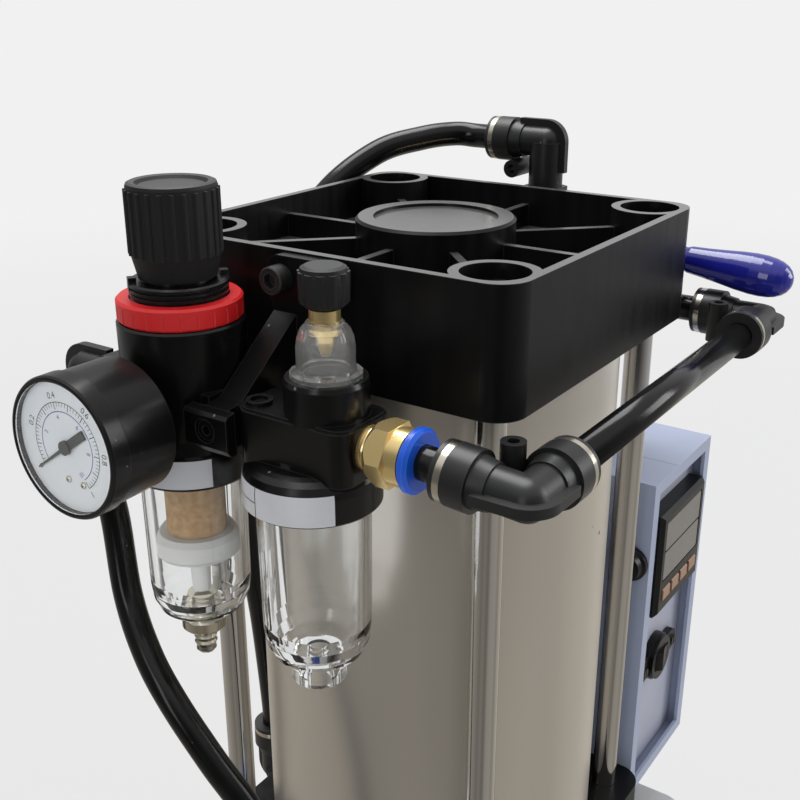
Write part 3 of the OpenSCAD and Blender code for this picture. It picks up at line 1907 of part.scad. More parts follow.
base_plate();
columns();
barrel_plate();
upper_plate();
shaft_collars();
m10_hardware();
m6_screws();
vice_body();
vice_jaw();
vice_screw();
barrel();
nozzle();
heater_bands();
thermocouple();
hopper();
plunger();
plunger_holder();
piston_rod();
piston();
piston_seals();
rod_bushing();
cap_top();
cap_bottom();
cylinder_tube();
tie_rods();
frl_bracket();
regulator_body();
regulator_knob();
regulator_ring();
regulator_bowl();
filter_element();
bowl_baffle();
drain_valve();
lubricator_body();
lubricator_dome();
lubricator_knob();
lubricator_bowl();
gauge_case();
gauge_dial();
gauge_needle();
gauge_lens();
fitting_bodies();
fitting_rings();
brass_fittings();
blue_collets();
air_hoses();
valve_body();
valve_spool();
valve_lever();
box_shell();
box_panel();
controller();
key_1();
key_2();
key_3();
key_4();
switch_body();
switch_rocker();
box_outlets();
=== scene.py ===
import math

import bpy
from mathutils import Matrix, Vector


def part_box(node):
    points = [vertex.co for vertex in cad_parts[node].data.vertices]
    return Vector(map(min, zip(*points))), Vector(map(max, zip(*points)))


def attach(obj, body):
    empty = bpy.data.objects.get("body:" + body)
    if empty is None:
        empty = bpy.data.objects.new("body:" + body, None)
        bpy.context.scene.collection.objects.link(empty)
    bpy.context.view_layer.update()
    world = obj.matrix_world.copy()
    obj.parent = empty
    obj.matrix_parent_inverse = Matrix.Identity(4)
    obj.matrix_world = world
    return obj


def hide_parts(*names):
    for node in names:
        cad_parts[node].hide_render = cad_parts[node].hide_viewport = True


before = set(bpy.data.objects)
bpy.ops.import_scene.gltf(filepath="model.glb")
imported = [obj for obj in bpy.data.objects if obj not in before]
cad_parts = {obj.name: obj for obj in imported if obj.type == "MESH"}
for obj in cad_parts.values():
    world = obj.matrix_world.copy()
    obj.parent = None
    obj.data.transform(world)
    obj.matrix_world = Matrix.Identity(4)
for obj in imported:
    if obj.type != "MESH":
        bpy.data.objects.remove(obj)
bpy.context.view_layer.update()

print("frame loaded")

topZ = 967.25  # top rim of the cylinder's upper cap, mm above the bench
frlX = -92.0  # air unit's line and port height, mm from the cap's centre
frlZ = -44.2
regY = 31.3
lubY = -17.5


def atCap(x, y, z):  # mm from the centre of the cap's top rim, to metres
    return Vector((x, y, z + topZ)) / 1000


def node(tree, kind, place=(0, 0), **values):
    n = tree.nodes.new(kind)
    n.location = place
    for key, value in values.items():
        setattr(n, key, value)
    return n


def wire(tree, *pairs):
    for a, b in pairs:
        tree.links.new(a, b)


def fill(n, **values):  # plain values for a node's sockets
    for key, value in values.items():
        n.inputs[key].default_value = value
    return n


def startGroup(name, inputs, outputs):
    tree = bpy.data.node_groups.new(name, "ShaderNodeTree")
    for label, kind, value in inputs:
        socket = tree.interface.new_socket(label, in_out="INPUT", socket_type=kind)
        socket.default_value = value
    for label, kind in outputs:
        tree.interface.new_socket(label, in_out="OUTPUT", socket_type=kind)
    return tree, node(tree, "NodeGroupInput", (-800, 0)), node(tree, "NodeGroupOutput", (800, 0))


# ---- camera, floor and lamps


studio = {
    "eye": (-0.3148, -0.2010, 1.04385),
    "right": (0.5652, -0.8250, -0.0020),
    "up": (0.2990, 0.2025, 0.9325),
    "lens": 49.284,
    "paperNear": (0.795, 0.795, 0.80),
    "paperFar": (0.965, 0.965, 0.968),
    "horizon": (0.875, 0.875, 0.877),  # backdrop above the floor, as the camera sees it
    "paperShare": 0.82,  # how much of the floor is plain paper colour to the camera
    "room": 0.5,  # light that the pale room gives
    "tableEdge": (2.05, 2.6),  # where the pale table ends in mirror images, metres from the column
    # what shiny surfaces find around them: compass angle, table tone and the room's tone beyond it
    "around": [(-180, 0.20, 0.03), (-160, 0.24, 0.03), (-138, 0.17, 0.04), (-118, 0.33, 0.10), (-85, 0.36, 0.24),
               (-62, 0.28, 0.34), (-40, 0.44, 0.42), (-26, 0.42, 0.40), (-6, 0.66, 0.7), (35, 0.82, 0.84),
               (80, 0.62, 0.6), (108, 0.50, 0.18), (146, 0.60, 0.05), (160, 0.22, 0.03), (172, 0.12, 0.03)],
    "tableTint": (1.0, 0.93, 0.82),
    "ceilingTone": 0.8,
    "floorRadius": 60,
    "floorDrop": 0.0004,  # keeps the floor just under the base plate
    "fade": (0.5, 5.0),  # where the paper's tone goes from near to far, metres from the column
    "ceilingFrom": (0.3, 0.8),  # upward part of a ray's direction where the ceiling begins and is all
}


def setCamera(s):
    bpy.context.scene.view_settings.view_transform = "Standard"
    data = bpy.data.cameras.new("photoCamera")
    data.lens = s["lens"]
    data.sensor_width = 36
    data.clip_start = 0.01
    data.clip_end = 200
    camera = bpy.data.objects.new("photoCamera", data)
    bpy.context.collection.objects.link(camera)
    right = Vector(s["right"]).normalized()
    up = Vector(s["up"])
    up = (up - right * up.dot(right)).normalized()
    back = right.cross(up)
    turn = Matrix((right, up, back)).transposed().to_4x4()
    camera.matrix_world = Matrix.Translation(s["eye"]) @ turn
    bpy.context.scene.camera = camera
    return camera


def makeSurroundings(s):  # tones that a shiny surface finds round the machine, by compass angle
    t, start, end = startGroup("surroundings", [("Toward", "NodeSocketVector", (0, 0, 0))],
                               [("Table", "NodeSocketColor"), ("Room", "NodeSocketColor")])
    split = node(t, "ShaderNodeSeparateXYZ", (-600, 0))
    turn = node(t, "ShaderNodeMath", (-400, 0), operation="ARCTAN2")
    share = fill(node(t, "ShaderNodeMapRange", (-200, 0)), **{"From Min": -math.pi, "From Max": math.pi})
    wire(t, (start.outputs[0], split.inputs[0]), (split.outputs[1], turn.inputs[0]), (split.outputs[0], turn.inputs[1]),
         (turn.outputs[0], share.inputs[0]))
    for k, socket in ((1, "Table"), (2, "Room")):
        ramp = node(t, "ShaderNodeValToRGB", (100, 300 - 300 * k))
        steps = ramp.color_ramp.elements
        rows = s["around"] + [(180, *s["around"][0][1:])]
        for i, row in enumerate(rows):
            step = steps[i] if i < 2 else steps.new(0.5)
            step.position = (row[0] + 180) / 360
        for step, row in zip(sorted(steps, key=lambda e: e.position), rows):
            tint = s["tableTint"] if k == 1 else (1, 1, 1)
            step.color = (*[row[k] * c for c in tint], 1)
        wire(t, (share.outputs[0], ramp.inputs[0]), (ramp.outputs[0], end.inputs[socket]))
    return t


surroundings = makeSurroundings(studio)


def layFloor(s):
    bpy.ops.mesh.primitive_circle_add(vertices=96, radius=s["floorRadius"], fill_type="NGON",
                                      location=(0, 0, -s["floorDrop"]))
    floor = bpy.context.object
    floor.name = "floor"
    mat = bpy.data.materials.new("floorPaper")
    mat.use_nodes = True
    mat.cycles.emission_sampling = "NONE"
    t = mat.node_tree
    t.nodes.clear()
    out = node(t, "ShaderNodeOutputMaterial", (1000, 0))
    spot = node(t, "ShaderNodeNewGeometry", (-900, 0))
    flat = node(t, "ShaderNodeVectorMath", (-700, -100), operation="LENGTH")
    fade = fill(node(t, "ShaderNodeMapRange", (-500, 100)), **{"From Min": s["fade"][0], "From Max": s["fade"][1]})
    paper = fill(node(t, "ShaderNodeMix", (-300, 100), data_type="RGBA"), A=(*s["paperNear"], 1), B=(*s["paperFar"], 1))
    lit = fill(node(t, "ShaderNodeBsdfPrincipled", (100, -100)), Roughness=0.9, **{"Specular IOR Level": 0.1})
    plain = node(t, "ShaderNodeEmission", (100, 200))
    path = node(t, "ShaderNodeLightPath", (-300, 500))
    most = node(t, "ShaderNodeMath", (0, 400), operation="MAXIMUM")
    share = node(t, "ShaderNodeMath", (200, 400), operation="MULTIPLY")
    share.inputs[1].default_value = s["paperShare"]
    first = node(t, "ShaderNodeMixShader", (500, 100))
    ring = node(t, "ShaderNodeGroup", (-500, -400))
    ring.node_tree = surroundings
    edge = fill(node(t, "ShaderNodeMapRange", (-300, -300), interpolation_type="SMOOTHSTEP"),
                **{"From Min": s["tableEdge"][0], "From Max": s["tableEdge"][1]})
    around = node(t, "ShaderNodeMix", (0, -400), data_type="RGBA")
    mirrored = node(t, "ShaderNodeEmission", (300, -400))
    second = node(t, "ShaderNodeMixShader", (800, 0))
    mirror = node(t, "ShaderNodeMath", (0, 600), operation="SUBTRACT", use_clamp=True)  # not what is seen through glass
    wire(t, (path.outputs["Is Glossy Ray"], mirror.inputs[0]), (path.outputs["Is Transmission Ray"], mirror.inputs[1]),
         (spot.outputs["Position"], flat.inputs[0]), (flat.outputs["Value"], fade.inputs[0]),
         (fade.outputs[0], paper.inputs["Factor"]), (paper.outputs["Result"], lit.inputs["Base Color"]),
         (paper.outputs["Result"], plain.inputs["Color"]),
         (path.outputs["Is Camera Ray"], most.inputs[0]), (path.outputs["Is Transmission Ray"], most.inputs[1]),
         (most.outputs[0], share.inputs[0]), (share.outputs[0], first.inputs[0]),
         (lit.outputs[0], first.inputs[1]), (plain.outputs[0], first.inputs[2]),
         (spot.outputs["Position"], ring.inputs[0]), (flat.outputs["Value"], edge.inputs[0]),
         (edge.outputs[0], around.inputs["Factor"]), (ring.outputs["Table"], around.inputs["A"]),
         (ring.outputs["Room"], around.inputs["B"]), (around.outputs["Result"], mirrored.inputs["Color"]),
         (mirror.outputs[0], second.inputs[0]), (first.outputs[0], second.inputs[1]),
         (mirrored.outputs[0], second.inputs[2]), (second.outputs[0], out.inputs[0]))
    floor.data.materials.append(mat)


def lightRoom(s):
    world = bpy.data.worlds.new("paleRoom")
    bpy.context.scene.world = world
    world.use_nodes = True
    world.cycles.sampling_method = "NONE"
    t = world.node_tree
    t.nodes.clear()
    out = node(t, "ShaderNodeOutputWorld", (1000, 0))
    soft = fill(node(t, "ShaderNodeBackground", (300, -100)), Color=(1, 1, 1, 1), Strength=s["room"])
    seen = fill(node(t, "ShaderNodeBackground", (300, 100)), Color=(*s["horizon"], 1))
    spot = node(t, "ShaderNodeTexCoord", (-900, -300))
    ring = node(t, "ShaderNodeGroup", (-700, -300))
    ring.node_tree = surroundings
    split = node(t, "ShaderNodeSeparateXYZ", (-700, -500))
    height = fill(node(t, "ShaderNodeMapRange", (-500, -500), interpolation_type="SMOOTHSTEP"),
                  **{"From Min": s["ceilingFrom"][0], "From Max": s["ceilingFrom"][1]})
    lid = fill(node(t, "ShaderNodeMix", (-200, -300), data_type="RGBA"), B=(*[s["ceilingTone"]] * 3, 1))
    mirrored = node(t, "ShaderNodeBackground", (300, -300))
    path = node(t, "ShaderNodeLightPath", (-200, 300))
    most = node(t, "ShaderNodeMath", (0, 350), operation="MAXIMUM")
    first = node(t, "ShaderNodeMixShader", (600, 0))
    second = node(t, "ShaderNodeMixShader", (800, 0))
    mirror = node(t, "ShaderNodeMath", (0, 600), operation="SUBTRACT", use_clamp=True)
    wire(t, (path.outputs["Is Glossy Ray"], mirror.inputs[0]), (path.outputs["Is Transmission Ray"], mirror.inputs[1]),
         (spot.outputs["Generated"], ring.inputs[0]), (spot.outputs["Generated"], split.inputs[0]),
         (split.outputs[2], height.inputs[0]), (height.outputs[0], lid.inputs["Factor"]),
         (ring.outputs["Room"], lid.inputs["A"]), (lid.outputs["Result"], mirrored.inputs["Color"]),
         (path.outputs["Is Camera Ray"], most.inputs[0]), (path.outputs["Is Transmission Ray"], most.inputs[1]),
         (most.outputs[0], first.inputs[0]), (soft.outputs[0], first.inputs[1]), (seen.outputs[0], first.inputs[2]),
         (mirror.outputs[0], second.inputs[0]), (first.outputs[0], second.inputs[1]),
         (mirrored.outputs[0], second.inputs[2]), (second.outputs[0], out.inputs[0]))


lamps = {
    "window": {"at": (1.6, -1.9, 1.7), "aim": (0.0, 0.0, 0.85), "size": (1.2, 1.2), "power": 22},
    "ceiling": {"at": (0.35, 0.5, 2.7), "aim": (0.0, 0.0, 0.9), "size": (1.3, 1.3), "power": 34},
    "left": {"at": (-2.2, -0.2, 1.5), "aim": (0.0, 0.0, 0.85), "size": (0.5, 1.2), "power": 5},
}


def hangLamps(table):
    for name, v in table.items():
        data = bpy.data.lights.new(name, "AREA")
        data.shape = "RECTANGLE"
        data.size, data.size_y = v["size"]
        data.energy = v["power"]
        lamp = bpy.data.objects.new(name, data)
        bpy.context.collection.objects.link(lamp)
        lamp.location = v["at"]
        lamp.rotation_euler = (Vector(v["aim"]) - Vector(v["at"])).to_track_quat("-Z", "Y").to_euler()


setCamera(studio)
layFloor(studio)
lightRoom(studio)
hangLamps(lamps)
print("studio ready")


# ---- shared effects


def makeEdgeMask():  # 1 on sharp edges, 0 on flat faces
    t, start, end = startGroup("edgeMask", [("Width", "NodeSocketFloat", 0.0008), ("Gain", "NodeSocketFloat", 4.0)],
                               [("Mask", "NodeSocketFloat")])
    bevel = node(t, "ShaderNodeBevel", (-500, 100), samples=4)
    geo = node(t, "ShaderNodeNewGeometry", (-500, -100))
    dot = node(t, "ShaderNodeVectorMath", (-300, 0), operation="DOT_PRODUCT")
    flip = node(t, "ShaderNodeMath", (-100, 0), operation="SUBTRACT")
    flip.inputs[0].default_value = 1.0
    gain = node(t, "ShaderNodeMath", (100, 0), operation="MULTIPLY", use_clamp=True)
    wire(t, (start.outputs["Width"], bevel.inputs["Radius"]), (bevel.outputs[0], dot.inputs[0]),
         (geo.outputs["Normal"], dot.inputs[1]), (dot.outputs["Value"], flip.inputs[1]),
         (flip.outputs[0], gain.inputs[0]), (start.outputs["Gain"], gain.inputs[1]), (gain.outputs[0], end.inputs[0]))
    return t


def makeGrain():  # fine bumps with a slow variation over them
    t, start, end = startGroup("grain", [("Size", "NodeSocketFloat", 900.0), ("Slow", "NodeSocketFloat", 30.0),
                                         ("Stretch", "NodeSocketVector", (1, 1, 1))],
                               [("Height", "NodeSocketFloat"), ("Drift", "NodeSocketFloat")])
    spot = node(t, "ShaderNodeTexCoord", (-800, 200))
    scaled = node(t, "ShaderNodeVectorMath", (-600, 100), operation="MULTIPLY")
    fine = node(t, "ShaderNodeTexNoise", (-300, 150))
    fine.inputs["Detail"].default_value = 3
    slow = node(t, "ShaderNodeTexNoise", (-300, -150))
    slow.inputs["Detail"].default_value = 2
    wire(t, (spot.outputs["Object"], scaled.inputs[0]), (start.outputs["Stretch"], scaled.inputs[1]),
         (scaled.outputs[0], fine.inputs["Vector"]), (scaled.outputs[0], slow.inputs["Vector"]),
         (start.outputs["Size"], fine.inputs["Scale"]), (start.outputs["Slow"], slow.inputs["Scale"]),
         (fine.outputs["Fac"], end.inputs[0]), (slow.outputs["Fac"], end.inputs[1]))
    return t


def makeDust():  # sparse pale specks
    t, start, end = startGroup("dust", [("Size", "NodeSocketFloat", 260.0), ("Amount", "NodeSocketFloat", 0.06)],
                               [("Mask", "NodeSocketFloat")])
    spot = node(t, "ShaderNodeTexCoord", (-800, 200))
    cells = node(t, "ShaderNodeTexVoronoi", (-500, 100), feature="F1")
    near = node(t, "ShaderNodeMath", (-300, 100), operation="LESS_THAN")
    near.inputs[1].default_value = 0.12
    pick = node(t, "ShaderNodeSeparateColor", (-300, -100))
    few = node(t, "ShaderNodeMath", (-100, -100), operation="LESS_THAN")
    both = node(t, "ShaderNodeMath", (100, 0), operation="MULTIPLY")
    wire(t, (spot.outputs["Object"], cells.inputs["Vector"]), (start.outputs["Size"], cells.inputs["Scale"]),
         (cells.outputs["Distance"], near.inputs[0]), (cells.outputs["Color"], pick.inputs[0]),
         (pick.outputs[0], few.inputs[0]), (start.outputs["Amount"], few.inputs[1]),
         (near.outputs[0], both.inputs[0]), (few.outputs[0], both.inputs[1]), (both.outputs[0], end.inputs[0]))
    return t


def makeUpward():  # 1 on faces that look up, between two heights of the machine
    t, start, end = startGroup("upward", [("Low", "NodeSocketFloat", 0.0), ("High", "NodeSocketFloat", 2.0)],
                               [("Mask", "NodeSocketFloat")])
    geo = node(t, "ShaderNodeNewGeometry", (-800, 200))
    spot = node(t, "ShaderNodeTexCoord", (-800, -200))
    tilt = node(t, "ShaderNodeSeparateXYZ", (-600, 200))
    height = node(t, "ShaderNodeSeparateXYZ", (-600, -200))
    flat = fill(node(t, "ShaderNodeMapRange", (-400, 200)), **{"From Min": 0.75, "From Max": 0.95})
    over = node(t, "ShaderNodeMath", (-400, 0), operation="GREATER_THAN")
    under = node(t, "ShaderNodeMath", (-400, -200), operation="LESS_THAN")
    band = node(t, "ShaderNodeMath", (-100, -100), operation="MULTIPLY")
    both = node(t, "ShaderNodeMath", (200, 0), operation="MULTIPLY")
    wire(t, (geo.outputs["True Normal"], tilt.inputs[0]), (spot.outputs["Object"], height.inputs[0]),
         (tilt.outputs[2], flat.inputs[0]), (height.outputs[2], over.inputs[0]), (start.outputs["Low"], over.inputs[1]),
         (height.outputs[2], under.inputs[0]), (start.outputs["High"], under.inputs[1]),
         (over.outputs[0], band.inputs[0]), (under.outputs[0], band.inputs[1]), (flat.outputs[0], both.inputs[0]), (band.outputs[0], both.inputs[1]),
         (both.outputs[0], end.inputs[0]))
    return t


groups = {"edge": makeEdgeMask(), "grain": makeGrain(), "dust": makeDust(), "upward": makeUpward()}


def place(tree, group, spot, **values):
    n = node(tree, "ShaderNodeGroup", spot)
    n.node_tree = groups[group]
    for key, value in values.items():
        n.inputs[key].default_value = value
    return n


def blendColour(tree, spot, a, b, amount=0.5):
    mix = node(tree, "ShaderNodeMix", spot, data_type="RGBA")
    mix.inputs["Factor"].default_value = amount
    mix.inputs["A"].default_value = (*a, 1)
    mix.inputs["B"].default_value = (*b, 1)
    return mix


def remap(tree, spot, low, high, toLow, toHigh):
    m = node(tree, "ShaderNodeMapRange", spot)
    for key, value in zip(("From Min", "From Max", "To Min", "To Max"), (low, high, toLow, toHigh)):
        m.inputs[key].default_value = value
    return m


def startMaterial(name):
    mat = bpy.data.materials.new(name)
    mat.use_nodes = True
    t = mat.node_tree
    t.nodes.clear()
    out = node(t, "ShaderNodeOutputMaterial", (900, 0))
    shader = node(t, "ShaderNodeBsdfPrincipled", (600, 0))
    wire(t, (shader.outputs[0], out.inputs[0]))
    return mat, t, shader


def makeFinish(name, look):
    # one opaque finish: two colours that drift, grain bump, a painted highlight on sharp edges, dust specks and a
    # painted sheen that makes upward tops paler
    mat, t, shader = startMaterial(name)
    grain = place(t, "grain", (-600, -100), Size=look.get("grain", 900.0), Slow=look.get("slow", 30.0),
                  Stretch=look.get("stretch", (1, 1, 1)))
    drift = remap(t, (-400, 100), 0.3, 0.7, 0, 1)
    tone = blendColour(t, (-200, 200), look["base"], look.get("second", look["base"]))
    wire(t, (grain.outputs["Drift"], drift.inputs[0]), (drift.outputs[0], tone.inputs["Factor"]))
    colour = tone.outputs["Result"]
    low, high = look["rough"]
    rough = remap(t, (100, -100), 0.25, 0.75, low, high)
    wire(t, (grain.outputs["Drift"], rough.inputs[0]))
    roughness = rough.outputs[0]
    # sharp edges get a lighter colour: a painted highlight along the edges
    if "edge" in look:
        edge = place(t, "edge", (-400, 400), Width=look.get("edgeWidth", 0.0007), Gain=look.get("edgeGain", 3.0))
        paintedEdgeHighlight = blendColour(t, (0, 300), look["base"], look["edge"])
        wire(t, (edge.outputs[0], paintedEdgeHighlight.inputs["Factor"]), (colour, paintedEdgeHighlight.inputs["A"]))
        colour = paintedEdgeHighlight.outputs["Result"]
    # upward faces in the height band get a paler colour: a painted sheen from the bright ceiling; the smoother
    # roughness and coat there are not painted
    if "top" in look:
        upward = place(t, "upward", (-400, 700), Low=look["topSpan"][0], High=look["topSpan"][1])
        pale = blendColour(t, (100, 500), look["base"], look["top"])
        smooth = blendColour(t, (300, -100), (0.5,) * 3, (look["topRough"],) * 3)
        wire(t, (upward.outputs[0], pale.inputs["Factor"]), (colour, pale.inputs["A"]),
             (upward.outputs[0], smooth.inputs["Factor"]), (roughness, smooth.inputs["A"]))
        colour, roughness = pale.outputs["Result"], smooth.outputs["Result"]
        sheen = remap(t, (300, -500), 0, 1, 0, look.get("topCoat", 0.0))
        wire(t, (upward.outputs[0], sheen.inputs[0]), (sheen.outputs[0], shader.inputs["Coat Weight"]))
    if "dust" in look:
        dust = place(t, "dust", (-200, 600), Size=look.get("dustSize", 260.0), Amount=look["dust"])
        dusty = blendColour(t, (200, 400), look["base"], look.get("dustTone", (0.16, 0.16, 0.16)))
        wire(t, (dust.outputs[0], dusty.inputs["Factor"]), (colour, dusty.inputs["A"]))
        colour = dusty.outputs["Result"]
    bump = node(t, "ShaderNodeBump", (300, -300))
    bump.inputs["Distance"].default_value = look.get("depth", 0.00002)
    bump.inputs["Strength"].default_value = look.get("bump", 0.5)
    wire(t, (colour, shader.inputs["Base Color"]), (roughness, shader.inputs["Roughness"]),
         (grain.outputs["Height"], bump.inputs["Height"]), (bump.outputs[0], shader.inputs["Normal"]))
    shader.inputs["Metallic"].default_value = look.get("metal", 0.0)
    shader.inputs["Specular IOR Level"].default_value = look.get("specular", 0.5)
    if "top" not in look:
        shader.inputs["Coat Weight"].default_value = look.get("coat", 0.0)
    shader.inputs["Coat Roughness"].default_value = look.get("coatRough", 0.05)
    return mat


def makeClear(name, look):
    # moulded clear plastic: tinted transmission that lets lamp light through
    mat, t, shader = startMaterial(name)
    grain = place(t, "grain", (-600, -100), Size=look.get("grain", 500.0), Slow=look.get("slow", 60.0))
    tone = blendColour(t, (-200, 200), look["base"], look["second"])
    rough = remap(t, (100, -100), 0.3, 0.7, *look["rough"])
    bump = node(t, "ShaderNodeBump", (300, -300))
    bump.inputs["Distance"].default_value = 0.00005
    bump.inputs["Strength"].default_value = look.get("bump", 0.3)
    wire(t, (grain.outputs["Drift"], tone.inputs["Factor"]), (tone.outputs["Result"], shader.inputs["Base Color"]),
         (grain.outputs["Drift"], rough.inputs[0]), (rough.outputs[0], shader.inputs["Roughness"]),
         (grain.outputs["Drift"], bump.inputs["Height"]), (bump.outputs[0], shader.inputs["Normal"]))
    shader.inputs["Transmission Weight"].default_value = 1.0 - look.get("milk", 0.0)
    shader.inputs["IOR"].default_value = 1.45  # clear moulded plastic
    out = t.nodes["Material Output"]
    path = node(t, "ShaderNodeLightPath", (300, 400))
    letThrough = node(t, "ShaderNodeBsdfTransparent", (600, 300))
    letThrough.inputs["Color"].default_value = (0.93, 0.94, 0.94, 1)
    mix = node(t, "ShaderNodeMixShader", (800, 200))
    wire(t, (path.outputs["Is Shadow Ray"], mix.inputs[0]), (shader.outputs[0], mix.inputs[1]),
         (letThrough.outputs[0], mix.inputs[2]), (mix.outputs[0], out.inputs[0]))
    return mat


